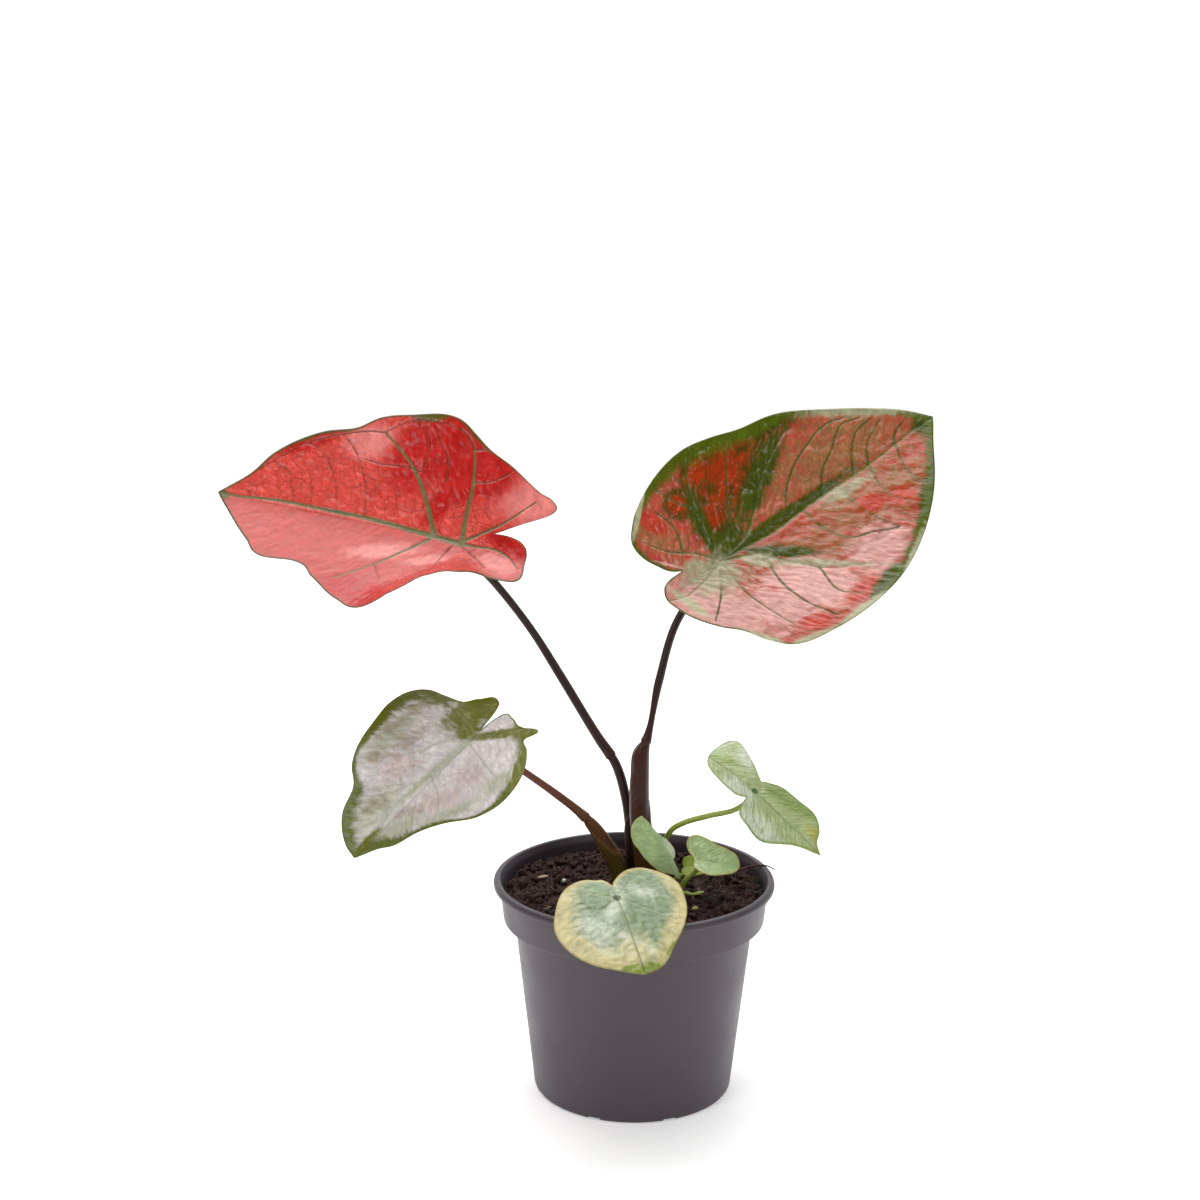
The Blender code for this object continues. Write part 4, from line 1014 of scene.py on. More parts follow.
def make_stem(name, material):
    """Tube from the hole in the peat to the blade's joint, flared a little where it meets it."""
    blade = BLADES[name]
    normal = blade_axes(blade)[2]
    joint = np.array(blade["joint"])
    x, y, _, foot_radius = STEMS[name][0]
    top_radius = STEMS[name][-1][3]
    knots = [(x, y, STEM_FOOT, foot_radius), (x, y, STEM_COLLAR, foot_radius), *STEMS[name],
             (*(joint - normal * STEM_REACH), top_radius),
             (*(joint - normal), top_radius * JOINT_FLARE)]
    curve = smooth_curve(knots, STEM_STEP)
    path, radius = curve[:, :3], curve[:, 3]
    sides = THICK_SIDES if foot_radius > THICK_FOOT else THIN_SIDES
    turn = np.degrees(np.linspace(0, math.tau, sides, endpoint=False))
    lean = path[-1] - path[0]
    side = np.cross(lean, (0, 0, 1)) if np.hypot(*lean[:2]) > 3 else np.array([1.0, 0, 0])
    side = np.asarray(side, float) / np.linalg.norm(side)
    sheath = np.zeros((len(path), sides))
    lip = np.zeros((len(path), sides))
    if name in SHEATHS:
        top, facing, drop = SHEATHS[name]
        ends = top - drop * (1 - np.cos(np.radians(turn - facing))) / 2
        below = ends[None] - path[:, 2:3]
        sheath = np.clip(below / SHEATH_FADE, 0, 1)
        sheath = sheath * sheath * (3 - 2 * sheath)
        lip = np.exp(-((below - LIP_DROP) / LIP_WIDTH) ** 2)
    ridges = RIDGE_SHARE * np.cos(np.radians(turn * RIDGES))[None] * radius[:, None]
    girth = radius[:, None] - SHEATH_LIFT * (name in SHEATHS) * (1 - sheath) * (
        radius[:, None] > BARE_RADIUS) + ridges
    points, quads, caps = tube(path, girth, side)
    measures = {
        "sheath": np.r_[sheath.ravel(), 0, 0], "lip": np.r_[lip.ravel(), 0, 0],
        "reach": np.r_[np.repeat(np.linspace(0, 1, len(path)), sides), 0, 1],
    }
    return add_piece(f"{name}_stem", points, quads, measures, material, [f"stem_{name}"],
                     caps)


def stem_skin(name, foot, middle, head, sheath, lip):
    """Fleshy stem: colour runs from foot to head, streaks of 0.7 mm follow its length, and a
    thin wax gives a narrow highlight (roughness about 0.4)."""
    material, shader = new_material(name, IOR=1.45, Subsurface_Weight=0.04, Specular_IOR_Level=WAX)
    shader.inputs["Subsurface Radius"].default_value = (0.5 * MM, 0.4 * MM, 0.2 * MM)
    place = add_node(material, "ShaderNodeTexCoord", {}, {}, "Object")
    drawn = add_node(material, "ShaderNodeMapping", {}, {
        "Vector": place, "Scale": (1.0, 1.0, 0.12)})
    streak = add_node(material, "ShaderNodeTexNoise", {}, {
        "Vector": drawn, "Scale": 1 / (0.7 * MM), "Detail": 3.0})
    reach = add_node(material, "ShaderNodeAttribute", {"attribute_name": "reach"}, {}, "Fac")
    colour = linear(foot)
    for paint, start, full in ((middle, 0.05, 0.3), (head, 0.35, 0.8)):
        weight = add_node(material, "ShaderNodeMapRange", {"interpolation_type": "SMOOTHSTEP"}, {
            "Value": reach, "From Min": start, "From Max": full})
        colour = add_node(material, "ShaderNodeMix", {"data_type": "RGBA"}, {
            0: weight, 6: colour, 7: linear(paint)}, 2)
    for measure, paint, strength in (("sheath", sheath, 0.8), ("lip", lip, 0.7)):
        value = add_node(material, "ShaderNodeAttribute", {"attribute_name": measure}, {}, "Fac")
        weight = add_node(material, "ShaderNodeMath", {"operation": "MULTIPLY"}, {
            0: value, 1: strength})
        colour = add_node(material, "ShaderNodeMix", {"data_type": "RGBA"}, {
            0: weight, 6: colour, 7: linear(paint)}, 2)
    tone = add_node(material, "ShaderNodeMapRange", {}, {
        "Value": streak, "From Min": 0.3, "From Max": 0.7, "To Min": 0.8, "To Max": 1.2})
    colour = add_node(material, "ShaderNodeVectorMath", {"operation": "SCALE"}, {
        0: colour, "Scale": tone})
    gloss = add_node(material, "ShaderNodeMapRange", {}, {
        "Value": streak, "From Min": 0.3, "From Max": 0.7, "To Min": 0.32, "To Max": 0.48})
    bump = add_node(material, "ShaderNodeBump", {}, {
        "Height": streak, "Strength": 0.4, "Distance": 0.1 * MM})
    connect(material, shader, Base_Color=colour, Roughness=gloss, Normal=bump)
    return material


purple_skin = stem_skin("waxy_stem_purple_brown", "#33200c", "#301510", "#2b1a1b", "#341c12",
                        "#5a3420")
base_skin = stem_skin("waxy_stem_purple_on_green_foot", "#665f10", "#38160a", "#2c191a", "#421c0c",
                      "#683e24")
brown_skin = stem_skin("waxy_stem_red_brown", "#585014", "#583414", "#6a3828", "#4e4012", "#805634")
green_skin = stem_skin("waxy_stem_green", "#7d8c34", "#8a9a3c", "#93a34c", "#8a9a3c", "#8a9a3c")
make_stem("left_coral", purple_skin)
make_stem("right_red_green", base_skin)
make_stem("lower_left_silver", brown_skin)
for name in ("right_drooping", "front_low", "middle_small", "oval_small", "hidden_young"):
    make_stem(name, green_skin)

# %% [markdown]
# ## The pot
# A thin pot of dark grey polypropylene, injection moulded: straight tapered wall, a step under a
# wider band, a rolled lip and a foot with drainage channels. It is a section turned round its
# axis, with its corners eased, and the channels and oval drains are cut from below.

# %% Turned section
POT_HEIGHT, LIP_RADIUS, LIP_DEPTH = 94.0, 60.0, 3.0
BAND_RADIUS, BAND_BOTTOM, BAND_DRAFT, LEDGE_RISE = 57.3, 76.3, 1.6, 0.6
WALL_TOP_RADIUS, FOOT_RADIUS, WALL, FLOOR = 51.0, 42.4, 1.3, 2.4
LIP_ROUND, FOOT_ROUND, CORNER_ROUND = 2.0, 2.2, 0.8
CHANNELS, CHANNEL_DEPTH, CHANNEL_WIDTH, HUB_DISC_RADIUS = 8, 1.4, 6.0, 12.0
DRAIN_RADIUS, DRAIN_STRETCH, DRAIN_PLACE = 2.6, 1.6, 33.0
POT_STEPS, SHARP_EDGE = 288, 35
GAP = 0.3


def eased(corners, steps=5):
    """Section whose corners are eased: each is replaced by points on the curve that starts and
    ends `rounding` away from it, as (1 - t)^2 start + 2 t (1 - t) corner + t^2 end."""
    section = []
    for index, (radius, height, rounding) in enumerate(corners):
        corner = np.array([radius, height], float)
        if not rounding:
            section.append(corner)
            continue
        before = np.array(corners[index - 1][:2]) - corner
        after = np.array(corners[index + 1][:2]) - corner
        start = corner + before / np.linalg.norm(before) * rounding
        end = corner + after / np.linalg.norm(after) * rounding
        t = np.linspace(0, 1, steps)[:, None]
        section += list((1 - t) ** 2 * start + 2 * t * (1 - t) * corner + t ** 2 * end)
    return np.array(section)


def turned(section, steps):
    """Section of (radius, height) turned about Z; it starts and ends on the axis, where a single
    point closes it."""
    turn = np.linspace(0, math.tau, steps, endpoint=False)
    middle = section[1:-1]
    ring = np.stack([middle[:, :1] * np.cos(turn), middle[:, :1] * np.sin(turn),
                     np.repeat(middle[:, 1:], steps, axis=1)], -1).reshape(-1, 3)
    points = np.concatenate([ring, [(0, 0, section[0, 1]), (0, 0, section[-1, 1])]])
    return points, *ring_faces(len(middle), steps)


INNER_CORNERS = [
    (0, FLOOR, 0), (FOOT_RADIUS - WALL, FLOOR, CORNER_ROUND),
    (WALL_TOP_RADIUS - WALL, BAND_BOTTOM - LEDGE_RISE + WALL, CORNER_ROUND),
    (BAND_RADIUS - WALL - BAND_DRAFT, BAND_BOTTOM + WALL, CORNER_ROUND),
    (BAND_RADIUS - WALL, POT_HEIGHT - LIP_DEPTH, CORNER_ROUND),
    (LIP_RADIUS - LIP_ROUND - CORNER_ROUND, POT_HEIGHT, CORNER_ROUND / 2),
]
OUTER_CORNERS = [
    (LIP_RADIUS, POT_HEIGHT, LIP_ROUND), (LIP_RADIUS, POT_HEIGHT - LIP_DEPTH, CORNER_ROUND),
    (BAND_RADIUS, POT_HEIGHT - LIP_DEPTH, CORNER_ROUND),
    (BAND_RADIUS - BAND_DRAFT, BAND_BOTTOM, CORNER_ROUND),
    (WALL_TOP_RADIUS, BAND_BOTTOM - LEDGE_RISE, CORNER_ROUND), (FOOT_RADIUS, 0, FOOT_ROUND),
    (0, 0, 0),
]
pot_section = eased(INNER_CORNERS + OUTER_CORNERS)
print("pot section:", len(pot_section), "points")

# %% [markdown]
# ## Moulded polypropylene
# Its surface is satin from the mould (IOR 1.49, roughness about 0.45), a taupe grey with faint
# flow marks, and it has picked up a few light scuffs, as nursery pots do.

# %% Pot material and pot
FLOW_SIZE, GRIT_SIZE = 18.0, 1.1
pot_plastic, pot_shader = new_material("moulded_polypropylene_taupe", IOR=1.49)
pot_place = add_node(pot_plastic, "ShaderNodeTexCoord", {}, {}, "Object")
flow = add_node(pot_plastic, "ShaderNodeTexNoise", {}, {
    "Vector": pot_place, "Scale": 1 / (FLOW_SIZE * MM), "Detail": 4.0})
grit = add_node(pot_plastic, "ShaderNodeTexNoise", {}, {
    "Vector": pot_place, "Scale": 1 / (GRIT_SIZE * MM), "Detail": 3.0})
scuff = add_node(pot_plastic, "ShaderNodeMapRange", {"interpolation_type": "SMOOTHSTEP"}, {
    "Value": grit, "From Min": 0.66, "From Max": 0.78, "To Min": 0.0, "To Max": 0.35})
body_colour = add_node(pot_plastic, "ShaderNodeMix", {"data_type": "RGBA"}, {
    0: flow, 6: linear("#3a2f37"), 7: linear("#463a42")}, 2)
pot_colour = add_node(pot_plastic, "ShaderNodeMix", {"data_type": "RGBA"}, {
    0: scuff, 6: body_colour, 7: linear("#6b6169")}, 2)
pot_gloss = add_node(pot_plastic, "ShaderNodeMapRange", {}, {
    "Value": flow, "From Min": 0.3, "From Max": 0.7, "To Min": 0.38, "To Max": 0.5})
pot_bump = add_node(pot_plastic, "ShaderNodeBump", {}, {
    "Height": grit, "Strength": 0.15, "Distance": 0.05 * MM})
connect(pot_plastic, pot_shader, Base_Color=pot_colour, Roughness=pot_gloss, Normal=pot_bump)

pot_points, pot_quads, pot_caps = turned(pot_section, POT_STEPS)
pot = add_piece("nursery_pot", pot_points, pot_quads, {}, pot_plastic, ["pot"],
                pot_caps)

# %% [markdown]
# ## Drainage
# The channels and drains are cut with exact booleans, and the result is kept as the pot's mesh, so
# no cutter stays in the scene.

# %% Cut the channels and drains
def cutter_box(low, high, turn):
    """Box between two corners, turned about Z."""
    corners = np.array([[(low, high)[pick][axis] for axis, pick in enumerate(picks)]
                        for picks in np.ndindex(2, 2, 2)], float)
    faces = [(0, 1, 3, 2), (4, 6, 7, 5), (0, 4, 5, 1), (2, 3, 7, 6), (0, 2, 6, 4), (1, 5, 7, 3)]
    return turned_about(corners, turn), faces


def cutter_oval(place, radius, stretch, bottom, top, turn, sides=32):
    """Upright oval column: radius along Y, radius times stretch along X."""
    angle = np.linspace(0, math.tau, sides, endpoint=False)
    ring = np.stack([place + radius * stretch * np.cos(angle), radius * np.sin(angle)], 1)
    points = np.concatenate([np.c_[ring, np.full(sides, bottom)], np.c_[ring, np.full(sides, top)]])
    walls = [(i, (i + 1) % sides, (i + 1) % sides + sides, i + sides) for i in range(sides)]
    return turned_about(points, turn), walls + [tuple(range(sides))[::-1],
                                                tuple(range(sides, 2 * sides))]


def turned_about(points, turn):
    """Points turned about Z."""
    c, s = math.cos(turn), math.sin(turn)
    return points @ np.array([[c, s, 0], [-s, c, 0], [0, 0, 1]])


cutters = bpy.data.collections.new("drainage")
bpy.context.scene.collection.children.link(cutters)
for index in range(CHANNELS):
    spoke = math.tau * (index + 0.5) / CHANNELS
    for points, faces in (
            cutter_box((HUB_DISC_RADIUS, -CHANNEL_WIDTH / 2, -1), (LIP_RADIUS, CHANNEL_WIDTH / 2,
                                                                   CHANNEL_DEPTH), spoke),
            cutter_oval(DRAIN_PLACE, DRAIN_RADIUS, DRAIN_STRETCH, CHANNEL_DEPTH / 2, FLOOR + 1,
                        spoke)):
        shape = bpy.data.meshes.new("cutter")
        shape.from_pydata((points * MM).tolist(), [], faces)
        cutters.objects.link(bpy.data.objects.new("cutter", shape))
boolean = pot.modifiers.new("drainage", "BOOLEAN")
boolean.operand_type = "COLLECTION"
boolean.collection = cutters
boolean.solver = "EXACT"
cut_pot = bpy.data.meshes.new_from_object(pot.evaluated_get(bpy.context.evaluated_depsgraph_get()))
pot.modifiers.clear()
pot.data = cut_pot
cut_pot.polygons.foreach_set("use_smooth", np.ones(len(cut_pot.polygons), bool))
cut_pot.set_sharp_from_angle(angle=math.radians(SHARP_EDGE))
for cutter in list(cutters.objects):
    bpy.data.objects.remove(cutter, do_unlink=True)
bpy.data.collections.remove(cutters)
print("pot faces after cutting:", len(cut_pot.polygons))

# %% [markdown]
# ## Peat
# Potting peat is a heap of dark crumbs, 1 to 5 mm across, with paler fibres. Its top is a disc
# grid raised by the plug's own heap and by noise whose creases make crumbs; loose crumbs and
# fibres are strewn over it as many small shapes in one mesh.

# %% Peat top
SOIL_LEVEL = 86.5
CLODS, CLOD_SEED, CLOD_REACH = 90, 11, 52.0
CLOD_WIDTH, CLOD_RISE = (2.5, 6.0), (-1.2, 2.0)
SIDE_HEAP, BACK_HEAP, HEAP_REACH = 1.2, 0.6, 50.0
LIFT_LIMITS, RIM_EASE = (-2.0, 4.0), 6.0
CRUMB_OCTAVES, CRUMB_ROUND = ((2.6, 4.6, 21), (1.5, 2.3, 22), (0.8, 1.1, 23)), 0.7


def heap(x, y):
    """Lift of the peat over its level, as in the solid: a bowl towards both sides, a slope to the
    back, and soft clods of random width and height."""
    random = np.random.default_rng(CLOD_SEED)
    lift = SIDE_HEAP * (x / HEAP_REACH) ** 2 + BACK_HEAP * y / HEAP_REACH
    reach = CLOD_REACH * random.uniform(0, 1, CLODS) ** 0.5
    angle = random.uniform(0, math.tau, CLODS)
    size = random.uniform(*CLOD_WIDTH, CLODS)
    height = random.uniform(*CLOD_RISE, CLODS)
    for place, turn, width, rise in zip(reach, angle, size, height):
        away = (x - place * math.cos(turn)) ** 2 + (y - place * math.sin(turn)) ** 2
        lift = lift + rise * np.exp(-away / width ** 2)
    return np.clip(lift, *LIFT_LIMITS) * np.clip((LIP_RADIUS - np.hypot(x, y)) / RIM_EASE, 0, 1)


def crumble(x, y):
    """Crumb relief in millimetres: noise folded at zero makes round lumps with sharp creases, in
    three sizes."""
    bend_x, bend_y = x + 1.2 * lumps(x, y, 5, 31), y + 1.2 * lumps(x, y, 5, 32)
    relief = sum(height * np.abs(lumps(bend_x, bend_y, size, seed)) ** CRUMB_ROUND
                 for height, size, seed in CRUMB_OCTAVES)
    return relief - CRUMB_OCTAVES[0][0]


def peat_height(x, y):
    """Height of the peat's top: its level, the heap's lift and the crumbs' relief."""
    return SOIL_LEVEL + heap(x, y) + crumble(x, y)


PEAT_CELLS = 180
band_top = POT_HEIGHT - LIP_DEPTH
rim_part = (band_top - SOIL_LEVEL) / (band_top - BAND_BOTTOM - WALL)
peat_rim = BAND_RADIUS - WALL - BAND_DRAFT * rim_part - GAP
share, angle = disc_grid(PEAT_CELLS)
peat_x = peat_rim * share * np.cos(np.radians(angle))
peat_y = peat_rim * share * np.sin(np.radians(angle))
peat_top = np.stack([peat_x, peat_y, peat_height(peat_x, peat_y)], 1)
top_quads, top_rim = disc_faces(PEAT_CELLS)
sides = eased([(radius - GAP, height + GAP, rounding) for radius, height, rounding
               in INNER_CORNERS[1:-2]] + [(peat_rim, SOIL_LEVEL, 0)], 3)[:-1][::-1]
rim_turn = np.radians(angle[top_rim])
skirt = np.stack([sides[:, :1] * np.cos(rim_turn), sides[:, :1] * np.sin(rim_turn),
                  np.repeat(sides[:, 1:], len(rim_turn), axis=1)], -1).reshape(-1, 3)
count = len(peat_top)
loops = np.concatenate([top_rim[None], count + np.arange(len(skirt)).reshape(len(sides), -1)])
skirt_quads = ring_quads(loops)
peat_points = np.concatenate([peat_top, skirt, [(0, 0, FLOOR + GAP)]])
foot_fan = np.stack([np.roll(loops[-1], -1), loops[-1],
                     np.full(len(top_rim), len(peat_points) - 1)], 1)
print("peat reaches", round(float(peat_top[:, 2].max()), 1), "mm")

# %% [markdown]
# ## Peat as a material
# Wet peat drinks light: it is a nearly black brown and a warm dark brown, with a dull shine where
# it is damp (roughness about 0.8). The noise that mixes the browns is also the bump's height, so
# the darkest brown lies in the hollows as painted shade and the lightest on the tops as painted
# light.

# %% Peat material
def peat_like(name, dark, middle, light, size):
    """Three browns mixed by noise of the crumb's size and by fine grit. The same noise is the
    bump's height, so the darkest brown is painted shade in the hollows and the lightest painted
    light on the tops.
    """
    material, shader = new_material(name, Roughness=0.82, IOR=1.4)
    place = add_node(material, "ShaderNodeTexCoord", {}, {}, "Object")
    crumb = add_node(material, "ShaderNodeTexNoise", {}, {
        "Vector": place, "Scale": 1 / (size * MM), "Detail": 5.0, "Roughness": 0.7})
    colour = linear(dark)
    # Darkest brown where the noise is low, in the bump's hollows: painted shade; lightest on its
    # tops: painted light.
    for paint, start, full in ((middle, 0.38, 0.56), (light, 0.58, 0.76)):
        weight = add_node(material, "ShaderNodeMapRange", {"interpolation_type": "SMOOTHSTEP"}, {
            "Value": crumb, "From Min": start, "From Max": full})
        colour = add_node(material, "ShaderNodeMix", {"data_type": "RGBA"}, {
            0: weight, 6: colour, 7: linear(paint)}, 2)
    bump = add_node(material, "ShaderNodeBump", {}, {
        "Height": crumb, "Strength": 0.8, "Distance": 0.4 * MM})
    connect(material, shader, Base_Color=colour, Normal=bump)
    return material


peat = peat_like("damp_peat", "#120706", "#331a17", "#623c35", 1.8)
add_piece("peat_plug", peat_points, np.concatenate([top_quads, skirt_quads]), {}, peat, ["soil"],
          foot_fan)

# %% [markdown]
# ## Strewn crumbs and fibres
# Each loose crumb is a ball of a few dozen faces, dented at random. They are thrown by a seeded
# generator, so every run gives the same heap.

# %% Crumbs
def ball(rows, columns):
    """Unit ball as rings between two poles: its points, quads and pole triangles."""
    polar = np.linspace(0, math.pi, rows + 2)[1:-1]
    turn = np.linspace(0, math.tau, columns, endpoint=False)
    ring = np.stack([np.sin(polar)[:, None] * np.cos(turn), np.sin(polar)[:, None] * np.sin(turn),
                     np.repeat(np.cos(polar)[:, None], columns, axis=1)], -1).reshape(-1, 3)
    return np.concatenate([ring, [(0, 0, 1), (0, 0, -1)]]), *ring_faces(rows, columns)


def copies(points, quads, triangles, amount):
    """Face numbers of `amount` copies of a small shape, one after another."""
    shift = (np.arange(amount) * len(points))[:, None, None]
    return (quads[None] + shift).reshape(-1, 4), (triangles[None] + shift).reshape(-1, 3)


CRUMBS, STREWN_REACH = 1000, 53.5
CRUMB_SMALLEST, CRUMB_SPREAD = 0.3, 2.0
random = np.random.default_rng(41)
ball_points, ball_quads, ball_caps = ball(4, 7)
reach = STREWN_REACH * random.uniform(0, 1, CRUMBS) ** 0.5
turn = random.uniform(0, math.tau, CRUMBS)
crumb_x, crumb_y = reach * np.cos(turn), reach * np.sin(turn)
crumb_size = random.uniform(0.3, 1.0, CRUMBS) ** 3 * CRUMB_SPREAD + CRUMB_SMALLEST
stretch = crumb_size[:, None] * random.uniform(0.6, 1.25, (CRUMBS, 3))
dents = random.uniform(0.5, 1.25, (CRUMBS, len(ball_points), 1))
spin = random.uniform(0, math.tau, CRUMBS)
shaped = ball_points[None] * stretch[:, None] * dents
spun_x = shaped[..., 0] * np.cos(spin)[:, None] - shaped[..., 2] * np.sin(spin)[:, None]
spun_z = shaped[..., 0] * np.sin(spin)[:, None] + shaped[..., 2] * np.cos(spin)[:, None]
crumb_z = peat_height(crumb_x, crumb_y) + 0.3 * crumb_size
crumb_points = np.stack([spun_x + crumb_x[:, None], shaped[..., 1] + crumb_y[:, None],
                         spun_z + crumb_z[:, None]], -1).reshape(-1, 3)
crumb_quads, crumb_caps = copies(ball_points, ball_quads, ball_caps, CRUMBS)
crumb_peat = peat_like("loose_peat_crumbs", "#1a0b09", "#3a1f1b", "#704a42", 1.2)
add_piece("peat_crumbs", crumb_points, crumb_quads, {}, crumb_peat, [], crumb_caps)

# %% [markdown]
# A fibre is a bent thread with five sides, thrown over the crumbs in the same way. All of them
# are worked out at once: one axis of the arrays is the fibre, one its length and one its side.

# %% Fibres
FIBRES, FIBRE_STEPS, FIBRE_SIDES = 480, 8, 5
FIBRE_REACH, FIBRE_LIMIT, FIBRE_LIFT = 52.5, 54.0, 0.9
random = np.random.default_rng(43)
reach = FIBRE_REACH * random.uniform(0, 1, FIBRES) ** 0.5
turn = random.uniform(0, math.tau, FIBRES)
heading = random.uniform(0, math.tau, FIBRES)
length = random.uniform(2.0, 8.0, FIBRES)
bow = random.uniform(-0.35, 0.35, FIBRES) * length
rise = random.uniform(-0.12, 0.3, FIBRES) * length
along = np.linspace(-0.5, 0.5, FIBRE_STEPS)[None]
sway = bow[:, None] * (0.25 - along ** 2) * 4
cos_way, sin_way = np.cos(heading)[:, None], np.sin(heading)[:, None]
fibre_x = ((reach * np.cos(turn))[:, None] + along * (length * np.cos(heading))[:, None]
           - sway * sin_way)
fibre_y = ((reach * np.sin(turn))[:, None] + along * (length * np.sin(heading))[:, None]
           + sway * cos_way)
inside = np.minimum(1, FIBRE_LIMIT / np.hypot(fibre_x, fibre_y))
fibre_x, fibre_y = fibre_x * inside, fibre_y * inside
fibre_z = (peat_height(fibre_x, fibre_y).mean(1, keepdims=True) + FIBRE_LIFT
           + along * rise[:, None])
spoke = np.linspace(0, math.tau, FIBRE_SIDES, endpoint=False)
thick = random.uniform(0.1, 0.22, FIBRES)[:, None] * (1.15 - (2 * along) ** 2)
ring_side = thick[..., None] * np.cos(spoke)
fibre_points = np.stack([
    fibre_x[..., None] - ring_side * sin_way[..., None],
    fibre_y[..., None] + ring_side * cos_way[..., None],
    fibre_z[..., None] + thick[..., None] * np.sin(spoke)], -1).reshape(-1, 3)
number = np.arange(FIBRE_STEPS * FIBRE_SIDES).reshape(FIBRE_STEPS, FIBRE_SIDES)
ends = np.concatenate([rim[[(0, side, side + 1) for side in range(1, FIBRE_SIDES - 1)]]
                       for rim in (number[0, ::-1], number[-1])])
all_quads, all_ends = copies(number.ravel(), ring_quads(number, flipped=True), ends, FIBRES)
fibre_bark = peat_like("peat_fibres", "#3a2620", "#6a4c3c", "#9a7c62", 3.0)
add_piece("peat_fibres", fibre_points, all_quads, {}, fibre_bark, [], all_ends)

# %% [markdown]
# ## Bits on the peat
# A pale flake, a grain of perlite, a yellowish husk and a rosy one lie on the peat, and one long
# fibre hangs over the rim.

# %% Pale bits: (x, y, lift, three half sizes, turn)
BITS = {
    "pale_flake": ((-39.6, 14.4, 0.9, 2.6, 1.0, 0.5, 0.5), "#b9a48c"),
    "perlite_grain": ((-30.3, 9.6, 1.0, 1.0, 0.9, 0.9, 0.0), "#e6e2da"),
    "rosy_husk": ((27.6, -1.5, 2.2, 0.9, 0.9, 2.4, 0.3), "#a8847c"),
    "yellow_husk": ((25.5, -25.2, 0.9, 1.7, 1.2, 0.7, 1.2), "#9a8a52"),
    "bark_curl": ((-35.8, -22.6, 0.9, 2.6, 0.6, 0.5, 0.9), "#7a6450"),
}
bit_ball, bit_quads, bit_caps = ball(9, 14)
for seed, (name, ((x, y, lift, *half, bit_turn), paint)) in enumerate(BITS.items()):
    dented = bit_ball * (1 + 0.16 * np.random.default_rng(seed).uniform(-1, 1, (len(bit_ball), 1)))
    placed = turned_about(dented * np.array(half), bit_turn)
    placed = placed + (x, y, float(peat_height(np.array([x]), np.array([y]))[0]) + lift)
    # The near white goes on the bits' raised spots: painted highlight.
    bit_skin = peat_like(name + "_skin", paint, paint, "#f2eee4", 1.2)
    add_piece(name, placed, bit_quads, {}, bit_skin, [], bit_caps)

rim_fibre = smooth_curve(((44, 20, 89.5), (52, 17.5, 93.0), (57.5, 13.5, 94.6),
                          (60.6, 9.5, 94.4)), 0.7)
fibre_width = np.repeat(np.linspace(0.55, 0.25, len(rim_fibre))[:, None], 8, axis=1)
points, quads, caps = tube(rim_fibre, fibre_width, np.array([0.0, 0.0, 1.0]))
add_piece("rim_fibre", points, quads, {}, fibre_bark, [], caps)

# %% [markdown]
# ## The seedling
# Beside the small leaves a seedling has opened its first pair of leaflets, a few millimetres wide.

# %% Seedling
SPROUT_X, SPROUT_Y, SPROUT_FOOT, SPROUT_TOP = 25.0, -8.5, 80.0, 90.0
LEAFLET_HALVES, LEAFLET_SPREAD, LEAFLET_LIFT = (2.6, 1.5, 0.5), 2.2, 0.25
seedling_skin = stem_skin("soft_seedling_green", "#8f9a44", "#8fa33c", "#9cb03c", "#9cb03c",
                          "#9cb03c")
leaflet_points, leaflet_quads, leaflet_caps = ball(10, 20)
leaflets = []
for way in (-1, 1):
    flat = leaflet_points * LEAFLET_HALVES
    flat[:, 0] += way * LEAFLET_SPREAD
    flat[:, 2] += LEAFLET_LIFT * np.abs(flat[:, 0])
    leaflets.append(flat + (SPROUT_X, SPROUT_Y, SPROUT_TOP - 0.5))
quads, caps = copies(leaflet_points, leaflet_quads, leaflet_caps, 2)
thread = smooth_curve([(SPROUT_X, SPROUT_Y, height) for height in (
    SPROUT_FOOT, (SPROUT_FOOT + SPROUT_TOP) / 2, SPROUT_TOP)], 0.6)
stalk, stalk_quads, stalk_caps = tube(thread, np.full((len(thread), 10), 0.55),
                                      np.array([1.0, 0, 0]))
leaflet_count = 2 * len(leaflet_points)
points = np.concatenate([*leaflets, stalk])
measures = {"reach": np.r_[np.ones(leaflet_count), np.zeros(len(stalk))]}
add_piece("seedling", points, np.concatenate([quads, stalk_quads + leaflet_count]), measures,
          seedling_skin, ["sprout"],
          np.concatenate([caps, stalk_caps + leaflet_count]))

# %% [markdown]
# ## Floor
# The plant stands on a white light table in a studio. The table glows a little, as a matt acrylic
# sheet lit from beneath does, and keeps the shadow faint.

# %% Floor
GLOW = 0.37
FLOOR_REACH = 1.4
sheet, sheet_shader = new_material("matt_white_acrylic", Roughness=0.9, Emission_Strength=GLOW)
sheet_shader.inputs["Emission Color"].default_value = (1, 1, 1, 1)
sheet_place = add_node(sheet, "ShaderNodeTexCoord", {}, {}, "Object")
sheet_grain = add_node(sheet, "ShaderNodeTexNoise", {}, {
    "Vector": sheet_place, "Scale": 1 / (60 * MM), "Detail": 2.0})
sheet_colour = add_node(sheet, "ShaderNodeMix", {"data_type": "RGBA"}, {
    0: sheet_grain, 6: linear("#f6f5f5"), 7: linear("#fcfcfc")}, 2)
connect(sheet, sheet_shader, Base_Color=sheet_colour)
floor_mesh = bpy.data.meshes.new("floor")
floor_corners = FLOOR_REACH * np.array([(-1, -1, 0), (1, -1, 0), (1, 1, 0), (-1, 1, 0)])
floor_mesh.from_pydata(floor_corners.tolist(), [], [(0, 1, 2, 3)])
floor_mesh.materials.append(sheet)
floor = bpy.data.objects.new("floor", floor_mesh)
bpy.context.scene.collection.objects.link(floor)

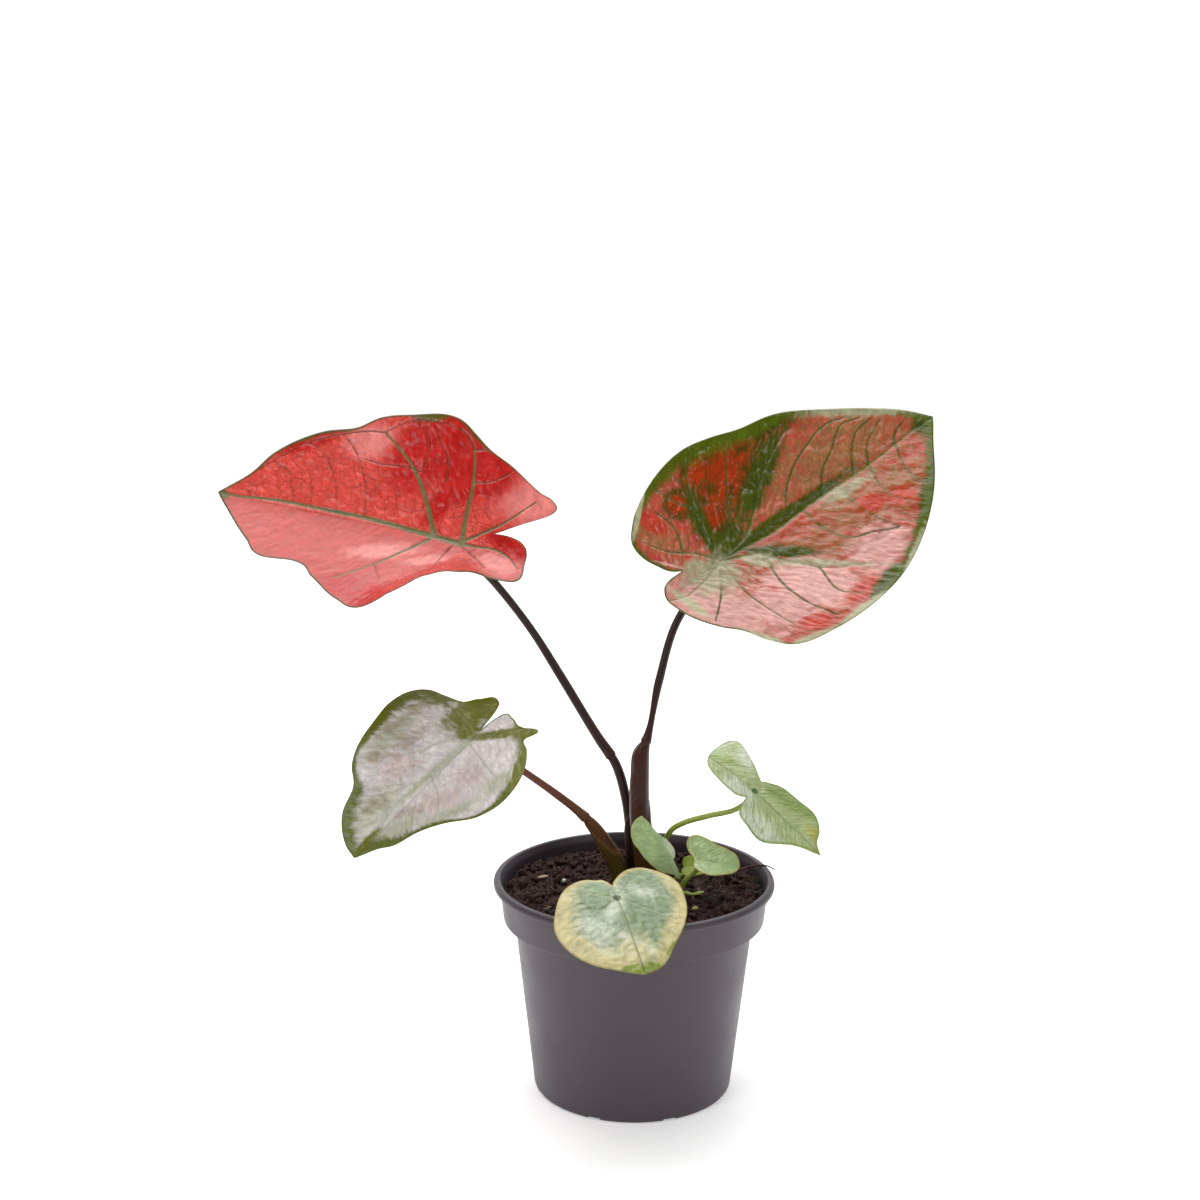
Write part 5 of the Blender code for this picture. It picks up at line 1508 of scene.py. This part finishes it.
# %% [markdown]
# ## Light
# There is bright cloth behind, a softbox overhead, whose mirror image is the pale sheen on the
# blades, and two softboxes in front. The room in front is darker, so the colours stay deep where
# a blade mirrors it.

# %% World and softboxes
FRONT_ROOM, BACK_CLOTH = 0.2, 1.05
world = bpy.data.worlds.new("studio")
bpy.context.scene.world = world
world.use_nodes = True
studio = world.node_tree
direction = studio.nodes.new("ShaderNodeTexCoord")
parted = studio.nodes.new("ShaderNodeSeparateXYZ")
fade = studio.nodes.new("ShaderNodeMapRange")
fade.interpolation_type = "SMOOTHSTEP"
for label, value in {"From Min": 0.1, "From Max": 0.85, "To Min": FRONT_ROOM,
                     "To Max": BACK_CLOTH}.items():
    fade.inputs[label].default_value = value
studio.links.new(direction.outputs["Generated"], parted.inputs[0])
studio.links.new(parted.outputs["Y"], fade.inputs["Value"])
studio.links.new(fade.outputs[0], studio.nodes["Background"].inputs["Strength"])
studio.nodes["Background"].inputs["Color"].default_value = (1, 1, 1, 1)
SOFTBOXES = {
    "overhead": ((-0.15, 0.4, 1.45), (-0.05, 0.1, 0.2), 1.4, 24),
    "front_left": ((-0.9, -1.2, 1.1), (0, 0, 0.15), 0.6, 7),
    "front_right": ((1.0, -1.1, 0.9), (0, 0, 0.15), 0.6, 4),
}
for name, (place, target, size, power) in SOFTBOXES.items():
    light = bpy.data.lights.new(name, "AREA")
    light.shape = "SQUARE"
    light.size = size
    light.energy = power
    lamp = bpy.data.objects.new(name, light)
    lamp.location = place
    lamp.rotation_euler = (Vector(target) - Vector(place)).to_track_quat("-Z", "Y").to_euler()
    bpy.context.scene.collection.objects.link(lamp)
bpy.context.scene.view_settings.view_transform = "Standard"
print("softboxes:", ", ".join(SOFTBOXES))

# %% [markdown]
# ## Camera
# The camera has the place, the lens and the slight tilt that were fitted to the pot's outline.
# Its three axes are built one from another: ahead, level, and upward square to both.

# %% Camera
CAMERA_PLACE = (0.0, -0.880, 0.418)
CAMERA_DOWN, CAMERA_YAW, CAMERA_ROLL = 12.98, -0.99, 0.32
LENS, SENSOR = 65.28, 36.0
down, yaw, roll = (math.radians(value) for value in (CAMERA_DOWN, CAMERA_YAW, CAMERA_ROLL))
ahead = Vector((math.sin(yaw) * math.cos(down), math.cos(yaw) * math.cos(down), -math.sin(down)))
level = Vector((math.cos(yaw), -math.sin(yaw), 0))
upward = level.cross(ahead)
across = math.cos(roll) * level + math.sin(roll) * upward
upward = -math.sin(roll) * level + math.cos(roll) * upward
lens = bpy.data.cameras.new("photo_view")
lens.lens = LENS
lens.sensor_width = SENSOR
lens.clip_end = 50
camera = bpy.data.objects.new("photo_view", lens)
camera.matrix_world = Matrix((across, upward, -ahead)).transposed().to_4x4()
camera.matrix_world.translation = CAMERA_PLACE
bpy.context.scene.collection.objects.link(camera)
bpy.context.scene.camera = camera
print("camera looks along", [round(value, 3) for value in ahead])
